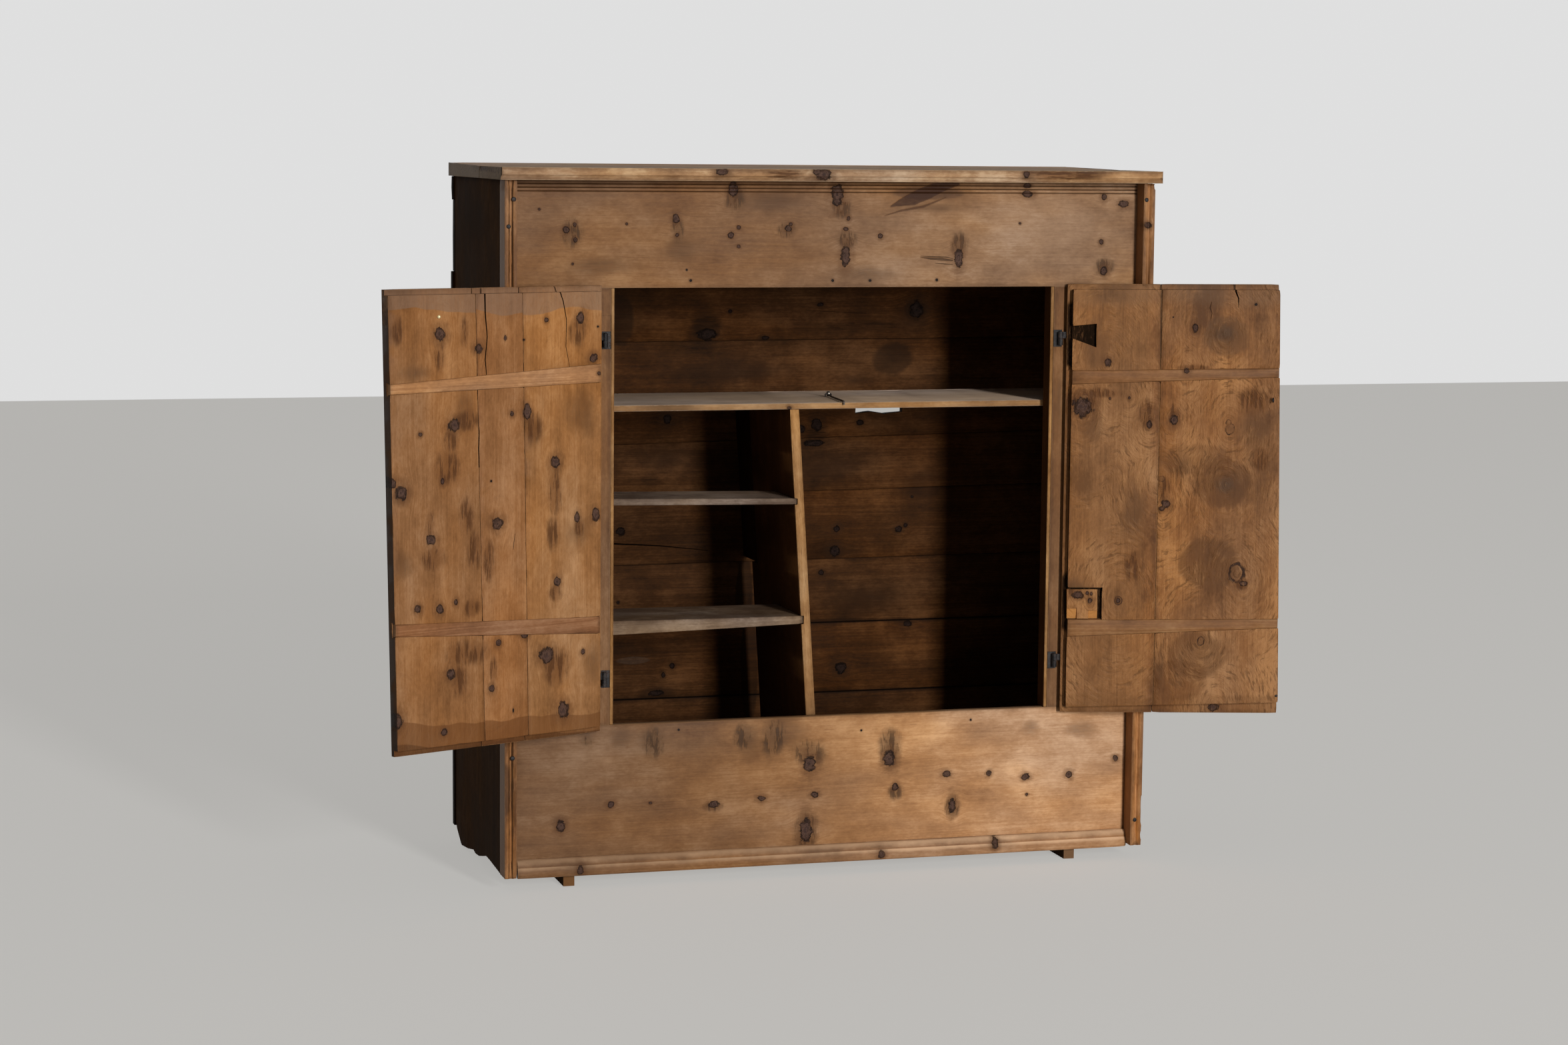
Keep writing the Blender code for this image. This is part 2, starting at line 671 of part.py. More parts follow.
def partition_and_half_shelves(root):
    high = shelf_underside - GAP
    rears = [partition_front + depth for depth in PARTITION_DEPTH]
    partition = leaning_board("partition", BOTTOM_TOP + GAP, high, 0.0, PARTITION_THICKNESS,
                              partition_front, max(rears))
    profile = [(partition_front - PAST, BOTTOM_TOP), (rears[0], BOTTOM_TOP),
               (rears[0], PARTITION_NOTCH), (rears[1], PARTITION_NOTCH),
               (rears[1], SHELF_TOP), (partition_front - PAST, SHELF_TOP)]
    limit = prism("partition_profile", profile, -inner_x, inner_x, "x")
    combine(partition, as_cutter(limit, root), "INTERSECT")
    half_shelf("half_shelf_upper", UPPER_HALF_TOP, UPPER_HALF_THICKNESS,
               UPPER_HALF_DEPTH, partition, root)
    half_shelf("half_shelf_lower", LOWER_HALF_TOP, LOWER_HALF_THICKNESS,
               LOWER_HALF_DEPTH, partition, root)
    keep(partition, "inner pine", root)
    rear_board = leaning_board("partition_rear_board", PARTITION_NOTCH + GAP, high,
                               PARTITION_REAR_INSET, PARTITION_REAR_THICKNESS,
                               rears[1] + GAP, DEPTH)
    keep(soften(rear_board), "inner pine", root)


def lip_edge(side):
    return opening_left - LIP_OVER_SIDE if side == "left" else opening_right + LIP_OVER_SIDE


def axis_x(side):
    return lip_edge(side) - (HINGE_SETBACK if side == "left" else -HINGE_SETBACK)


def open_angle(side, short_of_stop):
    # From closed to where the door's outer face is this angle short of its moulding
    across = inner_x - abs(axis_x(side))
    forward = MOULDING_PROJECTION - HINGE_STANDOFF
    touching = math.atan2(forward, across) + math.asin(-lip_front / math.hypot(across, forward))
    return math.pi - touching - short_of_stop


def hinge_heights(side):
    return door_top - HINGE_FROM_TOP[side], door_bottom + HINGE_FROM_BOTTOM[side]


def door_width(side, share):
    # From the lip's hinge-side edge to the free edge, at a share of the height
    meeting = OPENING_SHIFT + mix((MEETING_BOTTOM, MEETING_TOP), share)
    return abs(meeting - lip_edge(side)) - MEETING_GAP / 2


class Door:
    # A door seen from its hinge axis: s runs from the lip's edge to the free edge,
    # and toward is +1 where that is +X

    def __init__(self, side, toward, hinge):
        self.side = side
        self.toward = toward
        self.hinge = hinge
        self.widths = (door_width(side, 0.0), door_width(side, 1.0))

    def x(self, s):
        return self.toward * (HINGE_SETBACK + s)

    def low(self, s):
        return door_bottom - FREE_EDGE_RISE * s / self.widths[0]

    def high(self, s):
        return door_top + FREE_EDGE_RISE * s / self.widths[1]

    def slab(self, name, points, front, rear):
        return prism(name, [(self.x(s), z) for s, z in points], front, rear, "y")

    def rabbet(self, bottom_free):
        # Everything behind the lips, as one cutter round the field
        wide = max(self.widths) + PAST
        lows = (self.low(LIP_SIDE) + LIP_BOTTOM, self.low(wide) + bottom_free)
        highs = (self.high(LIP_SIDE) - LIP_TOP, self.high(wide) - LIP_TOP)
        under = self.low(wide) - PAST
        over = self.high(wide) + PAST
        points = [(-PAST, under), (wide, under), (wide, lows[1]), (LIP_SIDE, lows[0]),
                  (LIP_SIDE, highs[0]), (wide, highs[1]), (wide, over), (-PAST, over)]
        return as_cutter(self.slab(f"{self.side}_rabbet", points, lip_rear,
                                   field_rear + PAST), self.hinge)

    def batten_section(self, batten, s, clearance, rise):
        share = s / self.widths[1]
        middle = mix((batten[0], batten[2]), share)
        half = mix((batten[1], batten[3]), share) / 2 + clearance
        deep = field_rear - BATTEN_DEPTH - clearance
        flare = math.tan(BATTEN_FLARE)
        top = half - flare * rise
        foot = half + flare * (BATTEN_DEPTH + clearance)
        x = self.x(s)
        return [(x, field_rear + rise, middle - top), (x, field_rear + rise, middle + top),
                (x, deep, middle + foot), (x, deep, middle - foot)]

    def batten(self, name, batten):
        share = (batten[2] - door_bottom) / (door_top - door_bottom)
        start = LIP_SIDE + BATTEN_SHORT
        end = mix(self.widths, share) - BATTEN_SHORT
        solid = loft(name, self.batten_section(batten, start, 0.0, 0.0),
                     self.batten_section(batten, end, 0.0, 0.0))
        keep(solid, "batten pine", self.hinge)
        wide = max(self.widths) + PAST
        slot = loft(name + "_slot", self.batten_section(batten, LIP_SIDE - PAST, GAP, PAST),
                    self.batten_section(batten, wide, GAP, PAST))
        return as_cutter(slot, self.hinge)

    def hinge_slots(self):
        # Slots in the lip's edge that hold the door leaves
        half_height = BARREL_HEIGHT / 2 + SLOT_CLEARANCE
        half_depth = PLATE_THICKNESS / 2 + SLOT_CLEARANCE
        ends = sorted((self.x(-PAST), self.x(LEAF_REACH + SLOT_CLEARANCE)))
        for number, middle in enumerate(hinge_heights(self.side)):
            slot = box(f"{self.side}_leaf_slot_{number}",
                       (ends[0], -half_depth, middle - half_height),
                       (ends[1], half_depth, middle + half_height))
            yield as_cutter(slot, self.hinge)

    def planks(self, joints, cuts, first_cuts):
        lines = [(0.0, 0.0), *joints, self.widths]
        for number, (near, far) in enumerate(zip(lines, lines[1:])):
            start = [s + (PLANK_GAP if number else 0.0) for s in near]
            points = [(start[0], self.low(start[0])), (far[0], self.low(far[0])),
                      (far[1], self.high(far[1])), (start[1], self.high(start[1]))]
            plank = self.slab(f"{self.side}_door_plank_{number + 1}", points,
                              lip_front, field_rear)
            for tool in cuts + (first_cuts if number == 0 else []):
                combine(plank, tool, "DIFFERENCE")
            keep(plank, "door pine", self.hinge)

    def free_edge(self, height):
        return mix(self.widths, (height - door_bottom) / (door_top - door_bottom))

    def on_field(self, obj, inset, height):
        # Set a turned piece on the inner face, its own Z pointing to the rear
        obj.location = (self.x(self.free_edge(height) - inset), field_rear + GAP, height)
        obj.rotation_euler = (-math.pi / 2, 0.0, 0.0)
        return obj


def below_top(batten):
    near_drop, near_height, far_drop, far_height = batten
    return door_top - near_drop, near_height, door_top - far_drop, far_height


def above_bottom(batten):
    near_rise, near_height, far_rise, far_height = batten
    return door_bottom + near_rise, near_height, door_bottom + far_rise, far_height


def mortises(door):
    # Two old recesses, open at the hinge-side edge of the field
    near = LIP_SIDE - PAST
    front = field_rear - MORTISE_DEPTH
    low_near, high_near = (door_top - drop for drop in UPPER_MORTISE_NEAR)
    low_far, high_far = (door_top - drop for drop in UPPER_MORTISE_FAR)
    upper = [(near, low_near), (UPPER_MORTISE_REACH, low_far),
             (UPPER_MORTISE_REACH, high_far), (near, high_near)]
    low, high = (door_bottom + rise for rise in LOWER_MORTISE)
    lower = [(near, low), (LOWER_MORTISE_REACH, low), (LOWER_MORTISE_REACH, high), (near, high)]
    return [as_cutter(door.slab(name, points, front, field_rear + PAST), door.hinge)
            for name, points in (("upper_mortise", upper), ("lower_mortise", lower))]


def dome(radius, height, steps=5):
    # A rounded head on a flat seat, from the top down
    arc = [math.pi / 2 * i / steps for i in range(steps + 1)]
    return [(radius * math.sin(a), height * math.cos(a)) for a in arc] + [(0.0, 0.0)]


def left_door(root):
    hinge = new_empty("left_door_hinge", (axis_x("left"), -HINGE_STANDOFF, 0.0),
                      root, -open_angle("left", LEFT_SHORT_OF_STOP))
    door = Door("left", 1, hinge)
    cuts = [door.rabbet(LIP_BOTTOM),
            door.batten("left_door_batten_upper", below_top(LEFT_UPPER_BATTEN)),
            door.batten("left_door_batten_lower", above_bottom(LEFT_LOWER_BATTEN))]
    door.planks(LEFT_JOINTS, cuts, list(door.hinge_slots()))
    stud = turned("left_door_stud", dome(STUD_RADIUS, STUD_HEIGHT))
    keep(door.on_field(stud, STUD_FROM_FREE_EDGE, door_top - STUD_DROP), "brass", hinge)
    door_leaves(door)


def right_door(root):
    hinge = new_empty("right_door_hinge", (axis_x("right"), -HINGE_STANDOFF, 0.0),
                      root, open_angle("right", RIGHT_SHORT_OF_STOP))
    door = Door("right", -1, hinge)
    cuts = [door.rabbet(RIGHT_LIP_BOTTOM_FREE),
            door.batten("right_door_batten_upper", below_top(RIGHT_UPPER_BATTEN)),
            door.batten("right_door_batten_lower", above_bottom(RIGHT_LOWER_BATTEN))]
    door.planks(RIGHT_JOINTS, cuts, list(door.hinge_slots()) + mortises(door))
    nail = turned("right_door_nail", dome(NAIL_RADIUS, NAIL_HEIGHT, 3))
    keep(door.on_field(nail, NAIL_INSET, door_bottom + NAIL_RISE), "black iron", hinge)
    door_eye(door)
    door_leaves(door)


def door_eye(door):
    # A wire ring on a short shank, standing on the inner face
    height = SHELF_TOP + EYE_OVER_SHELF
    x = door.x(door.free_edge(height) - EYE_INSET)
    foot = field_rear + GAP
    middle = foot + EYE_SHANK + EYE_RING
    shank = cylinder("eye_shank", (x, foot + EYE_SHANK / 2 + EYE_WIRE / 2, height),
                     EYE_WIRE, EYE_SHANK + EYE_WIRE, "y")
    bpy.ops.mesh.primitive_torus_add(major_radius=EYE_RING, minor_radius=EYE_WIRE,
                                     major_segments=20, minor_segments=8)
    ring = bpy.context.object
    ring.name = "right_door_eye"
    for collection in ring.users_collection:
        collection.objects.unlink(ring)
    ring.location = (x, middle, height)
    ring.rotation_euler = (0.0, math.pi / 2, 0.0)
    ring.data.shade_smooth()
    combine(ring, as_cutter(shank, door.hinge), "UNION")
    keep(ring, "black iron", door.hinge)


def knuckle(name, x, y, low, high):
    return cylinder(name, (x, y, (low + high) / 2), BARREL_RADIUS, high - low)


def bore(name, x, y, middle):
    return cylinder(name, (x, y, middle), PIN_RADIUS + PIN_CLEARANCE, BARREL_HEIGHT + 2 * PAST)


def frame_leaves(root):
    # A plate let into the stile, with a web to the lower knuckle
    for side, toward, edge in (("left", 1, opening_left), ("right", -1, opening_right)):
        x = axis_x(side)
        joint = edge - toward * (LINING_THICKNESS + GAP)
        far = x - toward * PLATE_PAST_AXIS
        for level, middle in zip(("upper", "lower"), hinge_heights(side)):
            tag = f"{side}_{level}"
            low = middle - BARREL_HEIGHT / 2
            high = middle - KNUCKLE_GAP / 2
            leaf = box(f"hinge_frame_leaf_{tag}",
                       (min(joint, far), 0.0, middle - PLATE_HEIGHT / 2),
                       (max(joint, far), PLATE_THICKNESS, middle + PLATE_HEIGHT / 2))
            web = box(f"web_{tag}", (x - WEB_HALF_WIDTH, -HINGE_STANDOFF, low + GAP),
                      (x + WEB_HALF_WIDTH, PLATE_THICKNESS / 2, high - GAP))
            barrel = knuckle(f"frame_knuckle_{tag}", x, -HINGE_STANDOFF, low, high)
            combine(leaf, as_cutter(web, root), "UNION")
            combine(leaf, as_cutter(barrel, root), "UNION")
            hole = bore(f"frame_bore_{tag}", x, -HINGE_STANDOFF, middle)
            combine(leaf, as_cutter(hole, root), "DIFFERENCE")
            keep(leaf, "black iron", root)
            keep(pin(f"hinge_pin_{tag}", x, middle), "black iron", root)


def pin(name, x, middle):
    half = BARREL_HEIGHT / 2 + GAP
    top = half + PIN_HEAD_HEIGHT
    profile = [(0.0, top), (PIN_HEAD_RADIUS * 0.6, top - PIN_HEAD_HEIGHT * 0.15),
               (PIN_HEAD_RADIUS, top - PIN_HEAD_HEIGHT * 0.6), (PIN_HEAD_RADIUS, half),
               (PIN_RADIUS, half), (PIN_RADIUS, -half), (PIN_RADIUS * 0.6, -half - GAP),
               (0.0, -half - GAP)]
    solid = turned(name, profile, 16)
    solid.location = (x, -HINGE_STANDOFF, middle)
    return solid


def door_leaves(door):
    # The upper knuckle, with a plate that runs into the slot in the lip's edge
    half_plate = PLATE_THICKNESS / 2
    for level, middle in zip(("upper", "lower"), hinge_heights(door.side)):
        tag = f"{door.side}_{level}"
        low = middle + KNUCKLE_GAP / 2
        high = middle + BARREL_HEIGHT / 2
        ends = sorted((door.x(GAP), door.x(LEAF_REACH)))
        leaf = box(f"hinge_door_leaf_{tag}", (ends[0], -half_plate, middle - BARREL_HEIGHT / 2),
                   (ends[1], half_plate, high))
        ends = sorted((0.0, door.x(PAST)))
        neck = box(f"neck_{tag}", (ends[0], -half_plate + GAP, low + GAP),
                   (ends[1], half_plate - GAP, high - GAP))
        barrel = knuckle(f"door_knuckle_{tag}", 0.0, 0.0, low, high)
        combine(leaf, as_cutter(neck, door.hinge), "UNION")
        combine(leaf, as_cutter(barrel, door.hinge), "UNION")
        hole = bore(f"door_bore_{tag}", 0.0, 0.0, middle)
        combine(leaf, as_cutter(hole, door.hinge), "DIFFERENCE")
        keep(leaf, "black iron", door.hinge)


def hook(root):
    # A bar that lies on the shelf and lifts about a staple, its tip turned down
    pivot = new_empty("hook_pivot", (HOOK_X, HOOK_Y, SHELF_TOP + HOOK_LIFT), root)
    level = HOOK_RADIUS + GAP - HOOK_LIFT
    reach = HOOK_LENGTH - HOOK_TURN * 0.7
    points = [(0.0, -HOOK_EYE_RADIUS * 0.8, level * 0.4, 0.9)]
    for i in range(1, 7):
        share = i / 6
        points.append((-HOOK_DRIFT * share, -HOOK_EYE_RADIUS - (reach - HOOK_EYE_RADIUS) * share,
                       level, 0.85 + 0.15 * share))
    for i in range(1, 5):
        angle = math.pi / 2 * i / 4
        points.append((-HOOK_DRIFT, -reach - HOOK_TURN * 0.7 * math.sin(angle),
                       level - HOOK_TURN * (1 - math.cos(angle)), 1.0 - 0.06 * i))
    bar = rod("latch_hook", points, HOOK_RADIUS)
    eye = cylinder("hook_eye", (0.0, 0.0, 0.0), HOOK_EYE_RADIUS, HOOK_EYE_WIDTH, "x")
    hole = cylinder("hook_hole", (0.0, 0.0, 0.0), STAPLE_RADIUS + 2 * PIN_CLEARANCE,
                    HOOK_EYE_WIDTH + PAST, "x")
    combine(bar, as_cutter(eye, pivot), "UNION")
    combine(bar, as_cutter(hole, pivot), "DIFFERENCE")
    keep(bar, "worn steel", pivot)

    corner = STAPLE_HALF_WIDTH - STAPLE_RADIUS
    legs = [(-STAPLE_HALF_WIDTH, 0.0, GAP - HOOK_LIFT, 1.0),
            (-STAPLE_HALF_WIDTH, 0.0, -STAPLE_RADIUS, 1.0), (-corner, 0.0, 0.0, 1.0)]
    staple = rod("hook_staple", legs + [(-x, y, z, r) for x, y, z, r in legs[::-1]],
                 STAPLE_RADIUS)
    keep(staple, "black iron", pivot)


def centre_on_floor(root):
    # Move the cupboard so that the origin lies below the middle of all its parts
    bpy.context.view_layer.update()
    depsgraph = bpy.context.evaluated_depsgraph_get()
    low = [math.inf, math.inf]
    high = [-math.inf, -math.inf]
    for obj in parts.objects:
        if obj.type != "MESH":
            continue
        evaluated = obj.evaluated_get(depsgraph)
        mesh = evaluated.to_mesh()
        for vertex in mesh.vertices:
            point = evaluated.matrix_world @ vertex.co
            for axis in range(2):
                low[axis] = min(low[axis], point[axis])
                high[axis] = max(high[axis], point[axis])
        evaluated.to_mesh_clear()
    root.location.x -= (low[0] + high[0]) / 2
    root.location.y -= (low[1] + high[1]) / 2
    bpy.context.view_layer.update()


clear_scene()
parts = new_collection("cupboard")
cutters = new_collection("cutters")
carcass = new_empty("carcass", (0.0, 0.0, 0.0))
sides(carcass)
top_boards(carcass)
frieze(carcass)
stiles_and_linings(carcass)
apron(carcass)
corner_mouldings(carcass)
bottom_and_skids(carcass)
back_planks(carcass)
shelf_and_cleats(carcass)
partition_and_half_shelves(carcass)
frame_leaves(carcass)
left_door(carcass)
right_door(carcass)
hook(carcass)
centre_on_floor(carcass)
print("cupboard origin", tuple(round(value, 5) for value in carcass.location))
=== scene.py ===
import json
import math

import bmesh
import bpy
from mathutils import Matrix, Vector, noise


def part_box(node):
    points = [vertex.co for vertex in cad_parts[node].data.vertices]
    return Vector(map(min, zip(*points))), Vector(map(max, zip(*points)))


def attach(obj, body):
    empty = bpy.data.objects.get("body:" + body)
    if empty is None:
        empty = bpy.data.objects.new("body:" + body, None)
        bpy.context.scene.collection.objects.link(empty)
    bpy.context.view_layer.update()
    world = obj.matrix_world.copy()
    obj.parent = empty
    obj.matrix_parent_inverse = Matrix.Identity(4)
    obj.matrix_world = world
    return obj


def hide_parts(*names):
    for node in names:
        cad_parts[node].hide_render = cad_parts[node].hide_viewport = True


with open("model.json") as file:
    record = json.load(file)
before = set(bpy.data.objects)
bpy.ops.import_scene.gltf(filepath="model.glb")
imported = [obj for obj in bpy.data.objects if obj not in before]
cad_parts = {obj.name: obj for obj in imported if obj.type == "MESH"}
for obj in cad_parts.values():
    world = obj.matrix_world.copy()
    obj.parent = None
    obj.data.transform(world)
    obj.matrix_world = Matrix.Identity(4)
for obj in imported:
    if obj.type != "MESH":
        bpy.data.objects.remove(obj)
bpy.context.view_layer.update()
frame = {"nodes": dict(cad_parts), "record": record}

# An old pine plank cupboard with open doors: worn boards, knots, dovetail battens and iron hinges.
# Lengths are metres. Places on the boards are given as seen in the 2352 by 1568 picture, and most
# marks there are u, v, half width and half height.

nodes = frame["nodes"]
bodyOf = {node: body for body, members in frame["record"]["behaviour"]["bodies"].items() for node in members}
slotOf = {part["node"]: part["material_slot"] for part in frame["record"]["subparts"]}
carcassMiddle = (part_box("side_left")[0].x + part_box("side_right")[1].x) / 2
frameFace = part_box("frieze_board")[0].y
print("frame loaded:", len(nodes), "nodes")

picture = {
    "width": 2352,
    "height": 1568,
    "lens": 76.55,
    "sensor": 36.0,
    "place": (-1.9472, -6.2859, 1.4748),
    "yaw": 0.28647,
    "pitch": 0.11594,
    "roll": 0.00987,
}


def fromFrame(x, y, z):
    # a place measured from the carcass middle, the frame face and the floor
    return Vector((x + carcassMiddle, y + frameFace, z))


def cameraAxes():
    yaw, pitch, roll = picture["yaw"], picture["pitch"], picture["roll"]
    ahead = Vector((math.sin(yaw) * math.cos(pitch), math.cos(yaw) * math.cos(pitch), -math.sin(pitch)))
    level = Vector((math.cos(yaw), -math.sin(yaw), 0.0))
    upright = level.cross(ahead)
    right = level * math.cos(roll) + upright * math.sin(roll)
    up = upright * math.cos(roll) - level * math.sin(roll)
    return right, up, ahead


eye = fromFrame(*picture["place"])
eyeRight, eyeUp, eyeAhead = cameraAxes()
focalPixels = picture["lens"] / picture["sensor"] * picture["width"]

cameraData = bpy.data.cameras.new("camera")
cameraData.lens = picture["lens"]
cameraData.sensor_width = picture["sensor"]
camera = bpy.data.objects.new("camera", cameraData)
camera.matrix_world = Matrix.Translation(eye) @ Matrix((eyeRight, eyeUp, -eyeAhead)).transposed().to_4x4()
bpy.context.scene.collection.objects.link(camera)
bpy.context.scene.camera = camera
print("camera set")


def seen(u, v, point, normal):
    # where the line of sight through a place in the picture meets a plane
    sight = (eyeAhead * focalPixels + eyeRight * (u - picture["width"] / 2)
             + eyeUp * (picture["height"] / 2 - v))
    return eye + sight * ((point - eye).dot(normal) / sight.dot(normal))


def tone(red, green, blue):
    # a colour as the eye reads it, 0 to 255, for a shader
    def linear(value):
        share = value / 255
        return share / 12.92 if share <= 0.04045 else ((share + 0.055) / 1.055) ** 2.4
    return linear(red), linear(green), linear(blue), 1.0


def toneRamp(*stops):
    return [(place, tone(*colour)) for place, colour in stops]


class Value:
    def __init__(self, finish, socket):
        self.finish = finish
        self.socket = socket

    def to(self, operation, *others):
        return self.finish.node("ShaderNodeMath", {"operation": operation}, dict(enumerate((self, *others))))

    def __add__(self, other):
        return self.to("ADD", other)

    __radd__ = __add__

    def __mul__(self, other):
        return self.to("MULTIPLY", other)

    __rmul__ = __mul__

    def __sub__(self, other):
        return self.to("SUBTRACT", other)

    def __rsub__(self, other):
        return self.finish.node("ShaderNodeMath", {"operation": "SUBTRACT"}, {0: other, 1: self})

    def __abs__(self):
        return self.to("ABSOLUTE")


class Finish:
    # the nodes of one material, or of the world, and the shader that they feed
    def __init__(self, owner, surface="Principled BSDF"):
        self.owner = owner
        owner.use_nodes = True
        self.tree = owner.node_tree
        self.surface = self.tree.nodes[surface]

    def give(self, socket, value):
        # what varies is linked, and a constant is set on the socket itself
        if isinstance(value, Value):
            self.tree.links.new(value.socket, socket)
        else:
            socket.default_value = value

    def feed(self, name, value):
        self.give(self.surface.inputs[name], value)

    def node(self, kind, settings=None, values=None, output=0):
        made = self.tree.nodes.new(kind)
        for name, value in (settings or {}).items():
            if name == "stops":
                for stop, (place, colour) in zip(self.stopsOf(made, len(value)), value):
                    stop.position = place
                    stop.color = colour
            else:
                setattr(made, name, value)
        for name, value in (values or {}).items():
            self.give(made.inputs[name], value)
        return Value(self, made.outputs[output])

    def stopsOf(self, ramp, count):
        stops = ramp.color_ramp.elements
        while len(stops) < count:
            stops.new(1.0)
        return stops

    def ramp(self, factor, stops):
        return self.node("ShaderNodeValToRGB", {"stops": stops}, {"Fac": factor})

    def mix(self, factor, first, second, blend="MIX"):
        return self.node("ShaderNodeMix", {"data_type": "RGBA", "blend_type": blend},
                         {0: factor, 6: first, 7: second}, 2)

    def vector(self, operation, *values, output=0):
        return self.node("ShaderNodeVectorMath", {"operation": operation}, dict(enumerate(values)), output)

    def join(self, x, y, z):
        return self.node("ShaderNodeCombineXYZ", {}, {0: x, 1: y, 2: z})

    def noise(self, place, scale, detail=2.0, roughness=0.5):
        stretched = self.vector("MULTIPLY", place, scale)
        return self.node("ShaderNodeTexNoise", {}, {"Vector": stretched, "Scale": 1.0, "Detail": detail,
                                                    "Roughness": roughness})

    def ease(self, value, low, high, start=0.0, end=1.0):
        return self.node("ShaderNodeMapRange", {"interpolation_type": "SMOOTHSTEP"},
                         {"Value": value, "From Min": low, "From Max": high, "To Min": start, "To Max": end})

    def bump(self, height):
        return self.node("ShaderNodeBump", {}, {"Height": height, "Distance": 1.0, "Strength": 1.0})

    def straightRay(self):
        # 1 for a ray from the camera, or by way of gloss or glass
        camera, gloss, glass = [self.node("ShaderNodeLightPath", output=number) for number in (0, 3, 6)]
        return camera.to("MAXIMUM", gloss).to("MAXIMUM", glass)


class Board:
    # a board's own directions: along the grain, across it, and out of the face that shows
    def __init__(self, name, along, out):
        self.name = name
        self.mesh = nodes[name].data
        wanted, facing = Vector(out), 0.8
        face = max((f for f in self.mesh.polygons if f.normal.dot(wanted) > facing), key=lambda f: f.area)
        self.out = face.normal.copy()
        self.origin = self.mesh.vertices[face.vertices[0]].co.copy()
        self.across = self.out.cross(Vector(along)).normalized()
        self.along = self.across.cross(self.out)
        self.spans = []
        for direction in (self.along, self.across, self.out):
            reaches = [(v.co - self.origin).dot(direction) for v in self.mesh.vertices]
            self.spans.append((min(reaches), max(reaches)))

    def local(self, point):
        away = point - self.origin
        return away.dot(self.along), away.dot(self.across), away.dot(self.out)

    def spot(self, u, v):
        return self.local(seen(u, v, self.origin, self.out))[:2]

    def patch(self, u, v, halfWidth, halfHeight):
        # middle and half sizes, along and across, of what covers a patch of the picture
        middle = self.spot(u, v)
        side = self.spot(u + halfWidth, v)
        top = self.spot(u, v + halfHeight)
        reach = [abs(side[i] - middle[i]) + abs(top[i] - middle[i]) for i in (0, 1)]
        return middle, reach

    def course(self, points):
        # a split's places on the board, in order along the grain, or nothing where it lies elsewhere
        slack = 0.004
        spots = sorted(self.spot(u, v) + (width,) for u, v, width in points)
        inside = [spot for spot in spots if self.holds(spot[:2], (slack, slack))]
        return spots if len(inside) > len(spots) / 2 else None

    def holds(self, middle, reach):
        return all(self.spans[i][0] - reach[i] < middle[i] < self.spans[i][1] + reach[i] for i in (0, 1))

    def own(self, patches):
        # those marks of the picture that lie on this board
        return [found for found in (self.patch(*place) for place in patches) if self.holds(*found)]


looks = {
    "front": {"dark": (107, 73, 46), "mid": (137, 99, 66), "pale": (165, 128, 94), "roughness": 0.58, "shine": 0.1,
              "feathers": (120.0, 26.0, 60.0), "smudge": ((94, 67, 44), (62, 43, 28))},
    "door": {"dark": (113, 73, 38), "mid": (147, 100, 58), "pale": (174, 127, 83), "roughness": 0.54, "shine": 0.1,
             "vary": 1.25},
    "rightDoor": {"dark": (94, 59, 31), "mid": (136, 92, 55), "pale": (170, 123, 80), "roughness": 0.56,
                  "shine": 0.08, "vary": 1.9},
    "batten": {"dark": (112, 74, 44), "mid": (144, 99, 61), "pale": (174, 130, 88), "roughness": 0.52, "shine": 0.12},
    "inner": {"dark": (37, 21, 9), "mid": (67, 40, 18), "pale": (100, 65, 36), "roughness": 0.7, "shine": 0.04},
    # the dark side tone, also used on the skids, is partly painted shade
    "side": {"dark": (38, 25, 15), "mid": (60, 41, 26), "pale": (86, 62, 42), "roughness": 0.75, "shine": 0.01},
    "rear": {"dark": (84, 60, 40), "mid": (120, 90, 62), "pale": (154, 122, 90), "roughness": 0.75, "shine": 0.04},
    # a pale shelf top: partly dust, partly painted sheen from the light that grazes it
    "dustAndSheen": {"dark": (132, 112, 94), "mid": (178, 154, 133), "pale": (210, 188, 166), "roughness": 0.78,
              "shine": 0.1, "matt": 0.28},
    "grey": {"dark": (78, 62, 49), "mid": (122, 102, 84), "pale": (158, 138, 118), "roughness": 0.7, "shine": 0.1,
             "matt": 0.1},
    "edge": {"dark": (128, 90, 54), "mid": (162, 121, 78), "pale": (192, 152, 106), "roughness": 0.56, "shine": 0.12},
    "top": {"dark": (126, 90, 60), "mid": (170, 134, 99), "pale": (212, 182, 146), "roughness": 0.62, "shine": 0.12,
            "vary": 1.2},
    "moulding": {"dark": (106, 69, 38), "mid": (146, 101, 62), "pale": (176, 130, 88), "roughness": 0.52,
                 "shine": 0.12},
}

# Noise scales along the grain, across it and out of the face
grain = {
    "wander": (1.3, 7.0, 7.0),
    "wanderShift": 0.022,  # metres by which the grain wanders sideways
    "rings": (0.7, 62.0, 26.0),
    "streaks": (3.2, 260.0, 150.0),
    "fibre": (16.0, 1300.0, 800.0),
    "mottle": (4.0, 7.0, 7.0),
    "cloud": (13.0, 17.0, 17.0),
    "hue": (2.0, 5.0, 5.0),
    "speck": (90.0, 210.0, 210.0),
    "pores": (34.0, 620.0, 400.0),
    "gnarl": (75.0, 110.0, 110.0),
    "spread": 0.85,  # how far the grain opens round a knot
}
